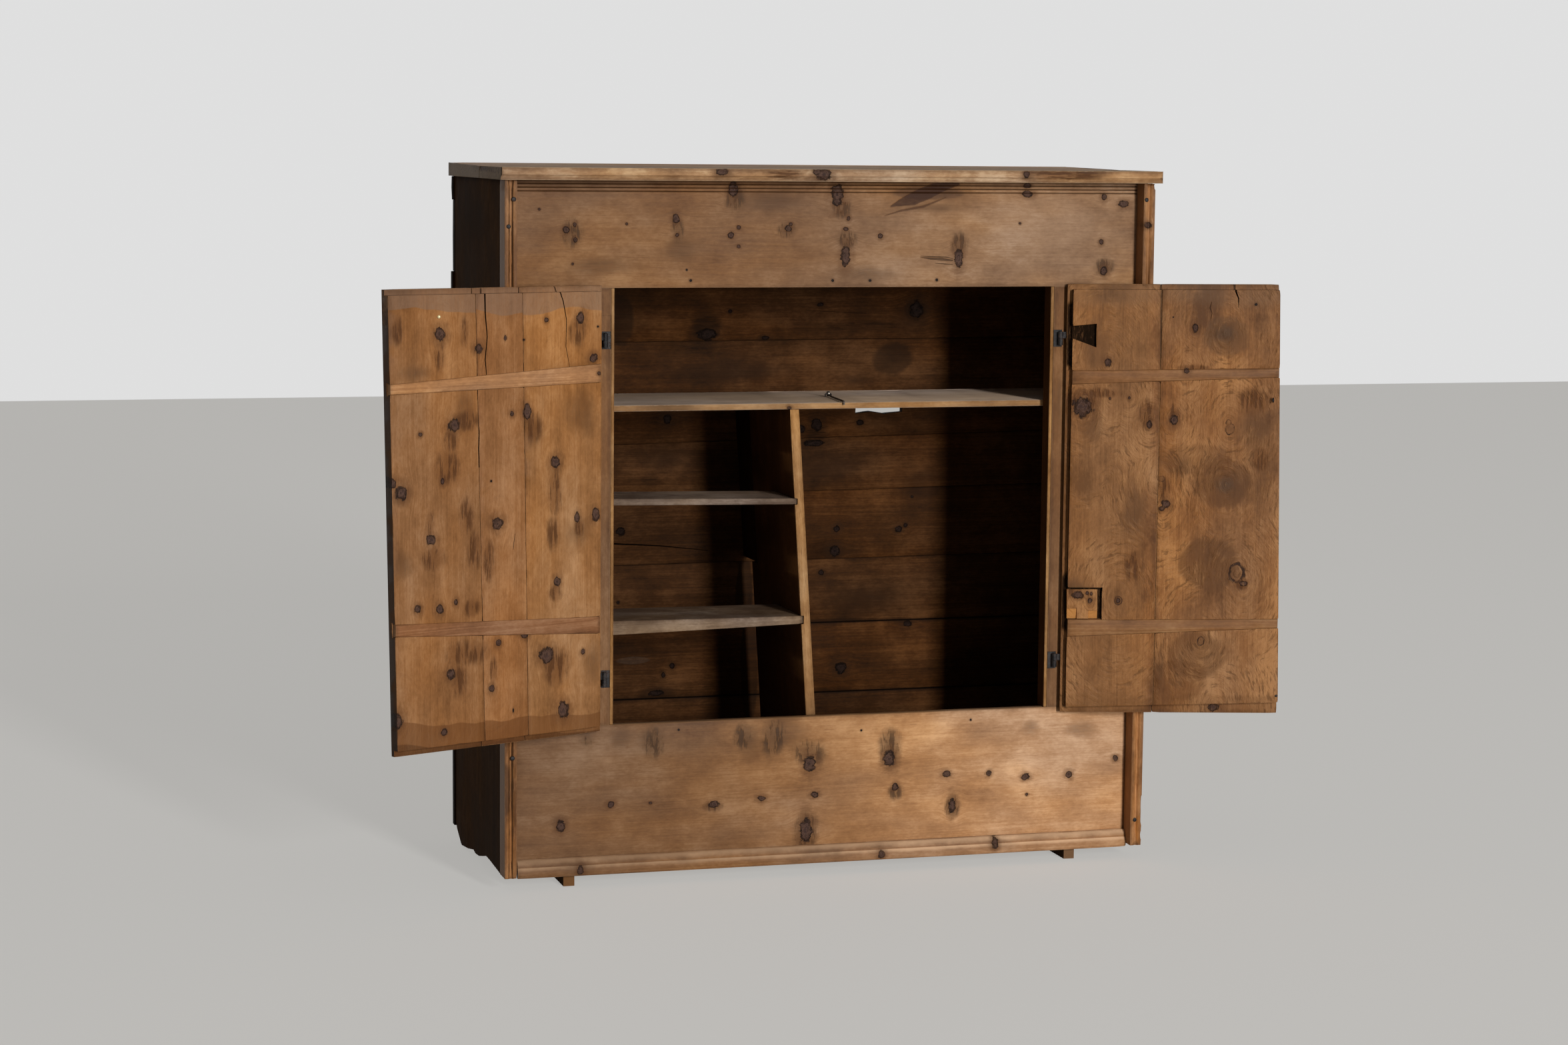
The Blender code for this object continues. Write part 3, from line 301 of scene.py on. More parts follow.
# How far each thing stands out of the face or lies in it, for the bump
relief = {
    "streaks": 0.00016,
    "fibre": 0.00008,
    "years": 0.0004,
    "cloud": 0.0006,
    "speck": 0.00014,
    "feather": 0.0004,
    "ring": 0.0004,
    "knot": 0.0005,
    "knotRim": 0.0007,
    "knotYears": 0.0012,
    "torn": 0.005,
    "hole": 0.001,
}
marks = {
    "stain": (62, 41, 27),
    "ring": (92, 64, 44),
    "ringLine": (44, 28, 21),
    "halo": (90, 57, 33),
    "heart": ((0.0, (36, 26, 25)), (0.25, (60, 44, 41)), (0.42, (88, 65, 55)), (0.6, (50, 34, 29)),
              (0.8, (28, 18, 15)), (1.0, (20, 12, 10))),
    "knotRim": (26, 16, 12),
    "knotSize": 1.12,  # above 1 makes the knots smaller
    "eye": (84, 64, 49),
    "torn": (72, 45, 24),
    "holeRim": (60, 42, 32),
    "hole": (20, 13, 10),
    "dirtAndShade": ((0.0, (12, 7, 3)), (0.55, (26, 16, 8)), (1.0, (74, 50, 30))),
    "groove": (54, 33, 18),
    "endGrain": (40, 25, 14),
    "handling": (62, 38, 22),
    "seam": (16, 9, 5),
    "warm": (1.07, 0.98, 0.82, 1.0),
    "cool": (0.95, 0.99, 1.10, 1.0),
}


def layers(finish, place, patches, reachOut, ragged):
    # the nearest of several ovals, 1 at its rim, with its outline made ragged
    nearest = None
    for middle, reach in patches:
        scale = (1 / reach[0], 1 / reach[1], 0.0)
        shift = (-middle[0] / reach[0], -middle[1] / reach[1], 0.0)
        oval = finish.vector("LENGTH", finish.vector("MULTIPLY_ADD", place, scale, shift), output=1)
        nearest = oval if nearest is None else nearest.to("MINIMUM", oval)
    return nearest + (ragged - 0.5) * reachOut


def wood(board, look, knots=(), rings=(), flames=(), stains=(), washes=(), bands=(), cracks=(), holes=(),
         pits=(), eyes=(), seed=0.0, backTone=None, faceTone=None, rim=None, groove=0.0, level=(1.0, 1.0, 1.0),
         lightFalloff=None, torn=0.0, grime=0.5, contrast=0.3, ends=0.5, paintedTopLight=None, seam=0.0, rub=0.3, paleBelow=None,
         through=0.014, knotsThrough=True):
    # pine by its board's own grain, with the marks that the picture shows on it
    shades = looks[look]
    dim = min(1.0, shades["mid"][0] / 130)
    finish = Finish(bpy.data.materials.new(board.name + "Wood"))

    def mark(red, green, blue):
        # the tone of a mark, darker on a dark board
        return tone(red * dim, green * dim, blue * dim)

    place = finish.node("ShaderNodeTexCoord", output=3)
    away = finish.vector("SUBTRACT", place, tuple(board.origin))
    along = finish.vector("DOT_PRODUCT", away, tuple(board.along), output=1)
    across = finish.vector("DOT_PRODUCT", away, tuple(board.across), output=1)
    depth = finish.vector("DOT_PRODUCT", away, tuple(board.out), output=1)
    flat = finish.join(along, across, 0.0)
    offset = (seed * 3.71, seed * 1.93, seed * 0.77)
    shifted = finish.vector("ADD", finish.join(along, across, depth), offset)
    wander = finish.noise(shifted, grain["wander"], 2.0)
    bent = across + (wander - 0.5) * grain["wanderShift"]

    outermost = board.spans[2][1]
    near = finish.ease(depth, outermost - through - 0.006, outermost - through)  # marks stay near the face
    ownKnots = board.own(knots)
    for middle, reach in ownKnots:
        # the grain lines open round each knot
        scale = (1 / (reach[0] * 2.2 + 0.008), 1 / (reach[1] * 1.9 + 0.003), 0.0)
        shift = (-middle[0] * scale[0], -middle[1] * scale[1], 0.0)
        span = finish.vector("LENGTH", finish.vector("MULTIPLY_ADD", flat, scale, shift), output=1)
        pull = finish.ease(span, 0.0, 1.6, grain["spread"], 0.0)
        bent = bent - (across - middle[1]) * pull

    seat = finish.vector("ADD", finish.join(along, bent, depth), offset)
    years = finish.noise(seat, grain["rings"], 3.0, 0.55)
    streaks = finish.noise(seat, grain["streaks"], 2.0, 0.6)
    fibre = finish.noise(seat, grain["fibre"], 1.0)
    pores = finish.noise(seat, grain["pores"], 1.0)
    mottle = finish.noise(shifted, grain["mottle"], 5.0, 0.62)
    cloud = finish.noise(shifted, grain["cloud"], 4.0, 0.65)
    hue = finish.noise(shifted, grain["hue"], 3.0, 0.6)
    speck = finish.noise(shifted, grain["speck"], 3.0, 0.7)
    gnarl = finish.noise(shifted, grain["gnarl"], 3.0, 0.6)
    ragged = mottle * 0.45 + cloud * 0.55

    tint = (years - 0.5) * (0.9 * contrast) + (streaks - 0.5) * (0.18 + 0.4 * contrast)
    tint = tint + (mottle - 0.5) * (0.9 * shades.get("vary", 1.0))
    tint = tint + (cloud - 0.5) * 0.6 + (fibre - 0.5) * 0.2 + (speck - 0.5) * 0.35 + 0.5

    def toned(name):
        own = looks[name]
        return finish.ramp(tint, toneRamp((0.2, own["dark"]), (0.5, own["mid"]), (0.8, own["pale"])))

    colour = toned(look)
    height = (streaks - 0.5) * relief["streaks"] + (years - 0.5) * (relief["years"] * contrast)
    for texture, name in ((fibre, "fibre"), (cloud, "cloud"), (speck, "speck")):
        height = height + (texture - 0.5) * relief[name]

    if faceTone:
        # the edge that shows is cleaner than the rest
        colour = finish.mix(finish.ease(depth, -0.0025, -0.0008), colour, toned(faceTone))
    if backTone:
        # the far side of a door or of the back has a tone of its own
        innermost = board.spans[2][0]
        colour = finish.mix(finish.ease(depth, innermost + 0.006, innermost + 0.002), colour, toned(backTone))
    if level != (1.0, 1.0, 1.0):
        colour = finish.mix(1.0, colour, (*level, 1.0), "MULTIPLY")
    colour = finish.mix(1.0, colour, finish.mix(finish.ease(hue, 0.34, 0.66), marks["cool"], marks["warm"]),
                        "MULTIPLY")
    colour = finish.mix(finish.ease(pores, 0.62, 0.72) * 0.35, colour, tone(*shades["dark"]))
    tilt = finish.node("ShaderNodeTexCoord", output=1)
    if paintedTopLight:
        # painted light: paler where a moulding faces up into the light
        up = finish.vector("DOT_PRODUCT", tilt, (0.0, 0.0, 1.0), output=1)
        colour = finish.mix(finish.ease(up + (cloud - 0.5) * 0.3, 0.2, 0.7) * 0.7, colour, tone(*paintedTopLight))
    if lightFalloff:
        # painted light: a paler or darker end, where the light on the board is stronger or weaker
        start, end, low, high = lightFalloff
        low, high = board.spot(*low)[0], board.spot(*high)[0]
        share = finish.ease(along + (mottle - 0.5) * 0.35, low, high)
        paintedLight = finish.mix(share, (start, start, start, 1.0), (*end, 1.0))
        colour = finish.mix(1.0, colour, paintedLight, "MULTIPLY")

    for u, v, halfWidth, halfHeight, strength, shade in washes:
        # broad soft-edged stains, each with its own colour
        middle, reach = board.patch(u, v, halfWidth, halfHeight)
        if not board.holds(middle, reach):
            continue
        area = layers(finish, flat, [(middle, reach)], 1.0, ragged)
        cover = finish.ease(area, 1.05, 0.8) * (finish.ease(speck + cloud, 0.6, 1.3, 0.6, 1.0) * strength)
        colour = finish.mix(cover * near, colour, finish.mix(0.3, tone(*shade), colour))

    for startUV, endUV, sideUV, strength, soft, shade in bands:
        # a stretch of the board beyond a wavering line has another tone
        start, end, side = board.spot(*startUV), board.spot(*endUV), board.spot(*sideUV)
        run = Vector((end[0] - start[0], end[1] - start[1])).normalized()
        normal = Vector((-run.y, run.x))
        if (Vector(side) - Vector(start)).dot(normal) < 0:
            normal = -normal
        beyond = finish.vector("DOT_PRODUCT", flat, (normal.x, normal.y, 0.0), output=1) - normal.dot(Vector(start))
        beyond = beyond + (wander - 0.5) * 0.05 + (mottle - 0.5) * 0.012
        cover = finish.ease(beyond, -soft, soft) * (finish.ease(cloud + speck, 0.5, 1.4, 0.6, 1.0) * strength)
        colour = finish.mix(cover * near, colour, finish.mix(0.3, tone(*shade), colour))

    ownStains = board.own(stains)
    if ownStains:
        area = layers(finish, flat, ownStains, 2.2, ragged)
        cover = near * finish.ease(area, 1.2, 0.1) * finish.ease(streaks + speck + cloud, 1.0, 1.8, 0.25, 1.0)
        colour = finish.mix(cover * 0.55, colour, mark(*marks["stain"]))

    ownFlames = board.own(flames)
    if ownFlames:
        # brown feathers of torn grain beside the knots
        area = layers(finish, flat, ownFlames, 1.4, ragged)
        feather = finish.noise(shifted, shades.get("feathers", (17.0, 140.0, 60.0)), 4.0, 0.6)
        cover = near * finish.ease(area, 1.25, 0.5) * finish.ease(feather, 0.46, 0.56)
        soft = near * finish.ease(area + (feather - 0.5) * 1.2, 1.25, 0.3) * 0.55
        pale, deep = shades.get("smudge", ((104, 64, 33), (76, 45, 22)))
        colour = finish.mix(soft, colour, mark(*pale))
        colour = finish.mix(cover * 0.78, colour, mark(*deep))
        height = height - cover * relief["feather"]

    ownRings = board.own(rings)
    if ownRings:
        # knots of which little more than the outline shows
        body = layers(finish, flat, ownRings, 0.9, gnarl)
        colour = finish.mix(finish.ease(body, 1.1, 0.6) * 0.3, colour, mark(*marks["ring"]))
        line = near * finish.ease(abs(body - 1.0), 0.26, 0.08) * finish.ease(speck + cloud, 0.86, 1.05, 0.3, 0.95)
        colour = finish.mix(line, colour, mark(*marks["ringLine"]))
        height = height + (finish.ease(body, 1.0, 0.3) - line) * relief["ring"]

    if ownKnots:
        # dark knots with year rings of their own, a black rim and a darker halo
        body = (layers(finish, flat, ownKnots, 1.2, gnarl) + (speck - 0.5) * 0.7) * marks["knotSize"]
        if not knotsThrough:
            body = body + (1 - near) * 4.0
        colour = finish.mix(finish.ease(body + (cloud - 0.5) * 2.5, 2.9, 0.9) * 0.55, colour, mark(*marks["halo"]))
        year = finish.noise(finish.join(body * 5.0, along * 70.0, across * 70.0), (1.0, 1.0, 1.0), 4.0, 0.7)
        heart = finish.ramp(body * 0.5 + (year - 0.5) * 1.5 + 0.2,
                            [(stop, mark(*shade)) for stop, shade in marks["heart"]])
        colour = finish.mix(finish.ease(body, 1.25, 0.8) * 0.9, colour, heart)
        outline = finish.ease(abs(body - 1.0), 0.2, 0.05) * finish.ease(speck, 0.4, 0.55, 0.2, 0.9)
        colour = finish.mix(outline, colour, mark(*marks["knotRim"]))
        height = height + (finish.ease(body, 1.4, 0.95) - finish.ease(body, 0.5, 0.0)) * relief["knot"]
        height = height - outline * relief["knotRim"]
        height = height + (year - 0.5) * finish.ease(body, 1.1, 0.9) * relief["knotYears"]

    ownEyes = board.own(eyes)
    if ownEyes:
        # faint grey knots with no outline
        body = layers(finish, flat, ownEyes, 0.9, gnarl)
        colour = finish.mix(finish.ease(body, 1.3, 0.2) * 0.6, colour, mark(*marks["eye"]))
    swirls = [(middle, (1.5, 1.0)) for middle, reach in ownEyes + ownRings + ownKnots]
    if torn and swirls:
        # rough, torn ripples that run round the knots, bumped and with painted shade and highlight
        away = layers(finish, flat, swirls, 0.03, ragged)
        curl = finish.noise(finish.join(away * 170.0, along * 34.0, across * 34.0), (1.0, 1.0, 1.0), 3.0, 0.6)
        where = finish.ease(cloud * 0.5 + mottle * 0.5, 0.42, 0.56)
        height = height + (curl - 0.5) * where * (relief["torn"] * torn)
        # painted shade in the ripples' hollows and painted highlight on their crests
        colour = finish.mix(finish.ease(curl, 0.47, 0.35) * where * (0.5 * torn), colour, tone(*marks["torn"]))
        colour = finish.mix(finish.ease(curl, 0.55, 0.68) * where * (0.35 * torn), colour, tone(*shades["pale"]))

    for points, shade, soft, deep in cracks:
        # a split or scar that follows points in the picture, each with its half width
        spots = board.course(points)
        if spots is None:
            continue
        low, high = spots[0][0], spots[-1][0]
        least = min(spot[1] - spot[2] for spot in spots)
        most = max(spot[1] + spot[2] for spot in spots)
        stops = [((a - low) / (high - low), ((c - least) / (most - least), width / (most - least), 0.0, 1.0))
                 for a, c, width in spots]
        share = finish.node("ShaderNodeMapRange", {}, {"Value": along, "From Min": low, "From Max": high})
        read = finish.ramp(share, stops)
        middle = finish.node("ShaderNodeSeparateColor", {}, {"Color": read}, 0)
        width = finish.node("ShaderNodeSeparateColor", {}, {"Color": read}, 1)
        gap = abs((across - least) * (1 / (most - least)) - middle) - width
        split = finish.ease(gap * (most - least) + (gnarl - 0.5) * soft * 1.5, soft, -soft)
        split = split * finish.ease(abs(along - (low + high) / 2), (high - low) / 2, (high - low) / 2 - 0.002) * near
        colour = finish.mix(split * 0.94, colour, finish.mix(speck * 0.3, tone(*shade), colour))
        height = height - split * deep

    ownHoles = board.own(holes)
    if ownHoles:
        hole = layers(finish, flat, ownHoles, 0.5, speck)
        dark = finish.ease(hole, 1.2, 0.8) * near
        colour = finish.mix(finish.ease(hole, 2.6, 1.1) * 0.35, colour, mark(*marks["holeRim"]))
        colour = finish.mix(dark, colour, mark(*marks["hole"]))
        height = height - dark * relief["hole"]

    roughen = None
    ownPits = board.own(pits)
    if ownPits:
        # the floors of old recesses, dark with dirt and painted shade
        area = layers(finish, flat, ownPits, 0.4, ragged)
        low = near * finish.ease(area, 1.25, 1.05) * finish.ease(depth, -0.0012, -0.0045)
        dirtAndShade = finish.ramp(finish.ease(speck + cloud + streaks * 0.5, 1.05, 1.55), toneRamp(*marks["dirtAndShade"]))
        colour = finish.mix(low * 0.97, colour, dirtAndShade)
        roughen = low

    if paleBelow:
        # paler where a notch has cut below the old face
        fresh = finish.ease(depth, -paleBelow[0], -paleBelow[0] - 0.0006) * finish.ease(cloud, 0.3, 0.6, 0.6, 1.0)
        colour = finish.mix(fresh, colour, tone(*paleBelow[1]))
    if groove:
        colour = finish.mix(finish.ease(depth, -0.0006, -0.0015) * groove, colour, tone(*marks["groove"]))
    if ends:
        # end grain is darker
        endways = finish.vector("DOT_PRODUCT", tilt, tuple(board.along), output=1)
        colour = finish.mix(finish.ease(abs(endways), 0.6, 0.85) * ends, colour, mark(*marks["endGrain"]))
    if rim:
        # painted shade on the faces that turn sideways, away from the light: door edges, moulding sides and flute
        # walls, and the plank edges in the back's gaps
        sideways = finish.vector("DOT_PRODUCT", tilt, tuple(board.across), output=1)
        colour = finish.mix(finish.ease(abs(sideways), 0.6, 0.8) * 0.85, colour, tone(*rim))

    # handling dirt towards the board's ends and edges
    edges = None
    for value, span in ((along, board.spans[0]), (across, board.spans[1])):
        inset = (span[1] - span[0]) / 2 - abs(value - (span[0] + span[1]) / 2)
        edges = inset if edges is None else edges.to("MINIMUM", inset)
    worn = finish.ease(edges + (ragged - 0.5) * 0.03, 0.010, 0.0)
    colour = finish.mix(worn * (grime * 0.6), colour, mark(*marks["handling"]))
    if seam:
        colour = finish.mix(finish.ease(edges, 0.0022, 0.0008) * seam, colour, mark(*marks["seam"]))
    rubbed = finish.ease(edges + (speck - 0.5) * 0.004, 0.0016, 0.0002)
    colour = finish.mix(rubbed * rub, colour, tone(*shades["pale"]))

    finish.feed("Base Color", colour)
    rough = (mottle - 0.5) * 0.3 + (streaks - 0.5) * 0.15 + shades["roughness"]
    finish.feed("Roughness", rough + roughen * 0.5 if roughen else rough)
    finish.feed("Normal", finish.bump(height))
    finish.feed("Specular IOR Level", shades["shine"])
    finish.feed("Diffuse Roughness", shades.get("matt", 0.0))
    return finish.owner


def metal(name, base, worn, rust, roughness, metallic):
    finish = Finish(bpy.data.materials.new(name))
    place = finish.node("ShaderNodeTexCoord", output=3)
    cloud = finish.noise(place, (60.0, 60.0, 60.0), 4.0, 0.65)
    pits = finish.noise(place, (420.0, 420.0, 420.0), 3.0, 0.6)
    colour = finish.mix(finish.ease(cloud, 0.45, 0.62), tone(*base), tone(*worn))
    brown = finish.ease(pits + cloud, 1.02, 1.22)
    colour = finish.mix(brown * 0.8, colour, tone(*rust))
    finish.feed("Base Color", colour)
    finish.feed("Metallic", (1 - brown) * metallic)
    finish.feed("Roughness", brown * 0.3 + (pits - 0.5) * 0.3 + roughness)
    finish.feed("Normal", finish.bump((pits - 0.5) * 0.0003 + (cloud - 0.5) * 0.0004))
    return finish.owner


def meshOf(shape, name):
    # the worked shape as a mesh, and an end to the shape
    mesh = bpy.data.meshes.new(name)
    shape.to_mesh(mesh)
    shape.free()
    return mesh


def pieceOf(shape, name, material, sharpest=180):
    # a smooth piece, but for edges that turn by more than sharpest degrees
    mesh = meshOf(shape, name)
    mesh.shade_smooth()
    mesh.set_sharp_from_angle(angle=math.radians(sharpest))
    mesh.materials.append(material)
    piece = bpy.data.objects.new(name, mesh)
    bpy.context.scene.collection.objects.link(piece)
    return piece


def freshMesh(name):
    # the node's solid again, welded and with whole faces, ready to be worked
    source = nodes[name].data
    same, flat = 0.000005, math.radians(0.5)
    shape = bmesh.new()
    corners = [shape.verts.new(v.co) for v in source.vertices]
    for face in source.polygons:
        shape.faces.new([corners[i] for i in face.vertices])
    bmesh.ops.remove_doubles(shape, verts=shape.verts, dist=same)
    bmesh.ops.dissolve_limit(shape, angle_limit=flat, verts=shape.verts, edges=shape.edges)
    return shape


def slitCutter(board, points, depth):
    # a wedge that follows a split and starts just above the face
    proud = 0.001
    spots = board.course(points)
    if spots is None:
        return None
    shape = bmesh.new()
    rows = []
    for along, across, width in spots:
        base = board.origin + board.along * along
        row = [base + board.across * (across - width) + board.out * proud,
               base + board.across * (across + width) + board.out * proud,
               base + board.across * across - board.out * depth]
        rows.append([shape.verts.new(point) for point in row])
    for low, high in zip(rows, rows[1:]):
        for i in range(3):
            shape.faces.new((low[i], low[(i + 1) % 3], high[(i + 1) % 3], high[i]))
    shape.faces.new(rows[0][::-1])
    shape.faces.new(rows[-1])
    bmesh.ops.recalc_face_normals(shape, faces=shape.faces)
    return bpy.data.objects.new("slit", meshOf(shape, "slit"))


def biteCutter(board, u, v, halfWidth, halfHeight, depth):
    # a rough lump, to break a piece out of an arris
    rough, lumps = 0.35, 2.1
    middle, reach = board.patch(u, v, halfWidth, halfHeight)
    shape = bmesh.new()
    bmesh.ops.create_icosphere(shape, subdivisions=3, radius=1.0)
    for vertex in shape.verts:
        x, y, z = vertex.co * (1 + rough * noise.noise(vertex.co * lumps + Vector((u, v, 0.0)) * 0.37))
        vertex.co = (board.origin + board.along * (middle[0] + x * reach[0])
                     + board.across * (middle[1] + y * reach[1]) + board.out * (z * depth))
    bmesh.ops.recalc_face_normals(shape, faces=shape.faces)
    return bpy.data.objects.new("bite", meshOf(shape, "bite"))


def weld(mesh):
    # near points joined, so that the next bite meets a clean skin
    near = 0.00002
    skin = bmesh.new()
    skin.from_mesh(mesh)
    bmesh.ops.remove_doubles(skin, verts=skin.verts, dist=near)
    bmesh.ops.dissolve_degenerate(skin, dist=near, edges=skin.edges)
    skin.to_mesh(mesh)
    skin.free()


wear = {
    "arris": 25,  # degrees by which a whole board turns at an arris
    "sharp": 42,  # degrees above which a worn edge still shades sharp
    "leastSlit": 0.001,  # a split less deep than this is drawn by the material alone
    "slitDepth": 4,  # times the depth that the material gives it
}


def cutAway(piece, board, cracks, bites):
    # the deeper splits, then the broken arrises, each cut out of the mesh
    cutters = [slitCutter(board, points, deep * wear["slitDepth"]) for points, shade, soft, deep in cracks
               if deep >= wear["leastSlit"]]
    cutters += [biteCutter(board, *bite) for bite in bites]
    for cutter in cutters:
        if cutter is None:
            continue
        broken = cutter.name.startswith("bite")
        bpy.context.scene.collection.objects.link(cutter)
        cut = piece.modifiers.new("cut", "BOOLEAN")
        cut.operation = "DIFFERENCE"
        cut.solver = "EXACT"
        cut.object = cutter
        solid = piece.evaluated_get(bpy.context.evaluated_depsgraph_get())
        mesh = bpy.data.meshes.new_from_object(solid)
        piece.modifiers.clear()
        bpy.data.objects.remove(cutter)
        if broken:
            weld(mesh)
        mesh.set_sharp_from_angle(angle=math.radians(wear["sharp"]))
        piece.data = mesh


def wornBoard(board, material, arris=0.0009, dents=0.0005, step=0.018, bites=(), waney=0.0, waneyFace=None,
              ripple=0.0, close=0.0, slits=(), seed=0.0):
    # a board with rounded, dented arrises: bevelled, sliced along its length, then moved by noise
    shape = freshMesh(board.name)
    sharp = [e for e in shape.edges
             if len(e.link_faces) == 2 and e.calc_face_angle(0.0) > math.radians(wear["arris"])]
    bmesh.ops.bevel(shape, geom=sharp, offset=arris, offset_type="OFFSET", segments=2, profile=0.6,
                    affect="EDGES", clamp_overlap=True)
    for direction, span, pitch in ((board.along, board.spans[0], step), (board.across, board.spans[1], step * 1.6)):
        count = max(2, round((span[1] - span[0]) / pitch))
        for i in range(1, count):
            reach = span[0] + (span[1] - span[0]) * i / count
            bmesh.ops.bisect_plane(shape, geom=shape.verts[:] + shape.edges[:] + shape.faces[:], dist=0.00001,
                                   plane_co=board.origin + direction * reach, plane_no=direction)
    shape.normal_update()
    moved = []
    for vertex in shape.verts:
        # corners are dented, the door's faces are rippled, and a waney edge is rough
        normals = [f.normal for f in vertex.link_faces if f.calc_area() > 1e-12]
        if not normals:
            continue
        corner = min(a.dot(b) for a in normals for b in normals) < 0.95
        place = vertex.co + Vector((seed, 0.0, 0.0))
        inward = 0.0
        if corner:
            bite = noise.noise(place * 55) + 0.6 * noise.noise(place * 140)
            inward = dents * (0.4 + max(0.0, bite) * 2.2)
            if noise.noise(place * 21) > 0.36:
                inward += dents * 2.0 * max(0.0, noise.noise(place * 90))
        if ripple and not corner and vertex.normal.dot(board.out) > 0.9:
            swell = noise.noise(place * 16) + 0.7 * noise.noise(place * 45) + 0.4 * noise.noise(place * 90)
            inward = ripple * max(0.0, 0.8 + swell)
        if waney and vertex.normal.dot(waneyFace) > 0.3:
            inward += waney * (0.5 + 0.9 * noise.noise(place * 9) + 0.5 * noise.noise(place * 30))
        shut = Vector((0.0, 0.0, -close if vertex.normal.z < -0.3 else 0.0))  # down onto the plank below
        moved.append((vertex, vertex.normal * -max(0.0, inward) + shut))
    for vertex, shift in moved:
        vertex.co += shift
    bmesh.ops.triangulate(shape, faces=[f for f in shape.faces if len(f.verts) > 4])
    piece = pieceOf(shape, board.name + "_worn", material, wear["sharp"])
    cutAway(piece, board, slits, bites)
    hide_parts(board.name)
    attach(piece, bodyOf[board.name])


def paint(name, material):
    slots = nodes[name].data.materials
    slots.clear()
    slots.append(material)


def dress(name, along, out, look, worn=None, **details):
    # a board's finish, on the node itself or on a worn piece that stands for it
    board = Board(name, along, out)
    seed = sum(ord(letter) * (i + 1) for i, letter in enumerate(name)) % 97 * 0.37  # a grain of its own
    material = wood(board, look, seed=seed, **details)
    if worn is None:
        paint(name, material)
    else:
        wornBoard(board, material, slits=details.get("cracks", ()), seed=seed, **worn)
    return board


alongX, alongY, upwards = (1, 0, 0), (0, 1, 0), (0, 0, 1)
toFront, toLeft, toRight = (0, -1, 0), (-1, 0, 0), (1, 0, 0)

# Front of the carcass. Washes add a strength and a tone; cracks are points with half widths, a tone,
# how soft the edge is and how deep it goes
frieze = {
    "knots": [
        (809, 314, 2, 2), (849, 345, 5, 5), (862, 337, 3, 4), (863, 360, 3, 4), (940, 336, 2, 2), (859, 396, 2, 2),
        (1014, 328, 5, 7), (1016, 353, 3, 3), (1096, 353, 5, 5), (1108, 341, 3, 3), (1108, 370, 3, 3),
        (1182, 343, 5, 5), (1186, 336, 3, 3), (1273, 328, 3, 4), (1269, 344, 4, 3), (1320, 354, 4, 4),
        (1268, 384, 7, 15), (1438, 387, 6, 15), (1256, 292, 9, 17), (1100, 284, 7, 12), (1541, 291, 8, 5),
        (1541, 278, 6, 4), (1656, 296, 4, 5), (1530, 335, 2, 2), (1652, 363, 3, 4), (1656, 406, 5, 7),
        (1686, 306, 8, 5),
    ],
    "flames": [
        (1102, 296, 16, 22), (1262, 312, 14, 16), (1270, 360, 16, 14), (1440, 366, 12, 18), (1016, 345, 10, 18),
        (1180, 345, 14, 12), (1656, 400, 14, 14), (859, 350, 16, 24),
    ],
    "stains": [(1400, 292, 60, 12), (1400, 312, 50, 9), (1020, 372, 26, 26), (1150, 300, 60, 20),
               (900, 400, 70, 18), (1300, 410, 60, 16)],
    "washes": [(1392, 290, 54, 9, 0.8, (70, 46, 34)), (1560, 335, 80, 40, 0.35, (176, 142, 112))],
    "cracks": [
        ([(1380, 386, 0.0003), (1396, 388, 0.0020), (1413, 389, 0.0028), (1430, 391, 0.0010)], (58, 36, 21), 0.0007,
         0.0009),
        ([(1380, 384, 0.0002), (1398, 385, 0.0007), (1420, 386, 0.0007), (1430, 388, 0.0003)], (26, 15, 9), 0.0004,
         0.0009),
        ([(1402, 395, 0.0002), (1416, 396, 0.0009), (1430, 397, 0.0004)], (40, 24, 15), 0.0005, 0.0006),
        ([(1335, 310, 0.001), (1350, 304, 0.007), (1372, 297, 0.014), (1398, 286, 0.014), (1422, 278, 0.008),
          (1440, 276, 0.002)], (50, 27, 19), 0.0016, 0.0006),
        ([(1326, 324, 0.0005), (1352, 316, 0.002), (1385, 310, 0.0025), (1420, 296, 0.001)], (74, 46, 28), 0.0015,
         0.0004),
    ],
    "holes": [(1249, 421, 2, 2), (1305, 421, 2, 2), (1405, 420, 2, 2), (1036, 421, 2, 2), (1030, 405, 1.5, 1.5)],
    "lightFalloff": (0.86, (1.26, 1.41, 1.62), (1100, 340), (1600, 340)),
    "contrast": 0.15,
    "groove": 0.8,
}
apron = {
    "knots": [
        (916, 1207, 5, 5), (976, 1205, 3, 2), (841, 1240, 7, 9), (1071, 1207, 8, 5), (1142, 1198, 6, 4),
        (1222, 1192, 6, 4), (1214, 1146, 9, 12), (1209, 1246, 9, 17), (1334, 1138, 8, 12), (1343, 1181, 5, 5),
        (1420, 1161, 6, 5), (1483, 1160, 4, 4), (1538, 1165, 6, 5), (1603, 1162, 5, 5), (1428, 1209, 5, 12),
        (1673, 1137, 4, 4), (1540, 1192, 2, 2),
    ],
    "flames": [
        (1214, 1130, 26, 20), (1160, 1108, 18, 26), (1334, 1120, 18, 28), (1209, 1248, 20, 28), (980, 1116, 16, 24),
        (1343, 1190, 12, 12), (1115, 1105, 14, 20), (1428, 1212, 12, 18), (1071, 1210, 16, 8), (880, 1112, 12, 8),
    ],
    "stains": [
        (1180, 1100, 36, 30), (1334, 1118, 22, 30), (1125, 1110, 20, 30), (975, 1112, 26, 24), (838, 1236, 16, 16),
        (880, 1102, 16, 10), (1546, 1090, 16, 14), (930, 1108, 20, 18), (1620, 1095, 30, 14),
    ],
    "holes": [(1292, 1096, 1.5, 1.5), (1456, 1080, 1.5, 1.5), (1018, 1095, 1.5, 1.5)],
    "lightFalloff": (0.8, (1.92, 2.04, 2.17), (950, 1200), (1600, 1150)),
    "contrast": 0.2,
}
dress("frieze_board", alongX, toFront, "front", worn={"step": 0.03}, **frieze)
dress("apron_board", alongX, toFront, "front", worn={"step": 0.03, "arris": 0.0018}, **apron)
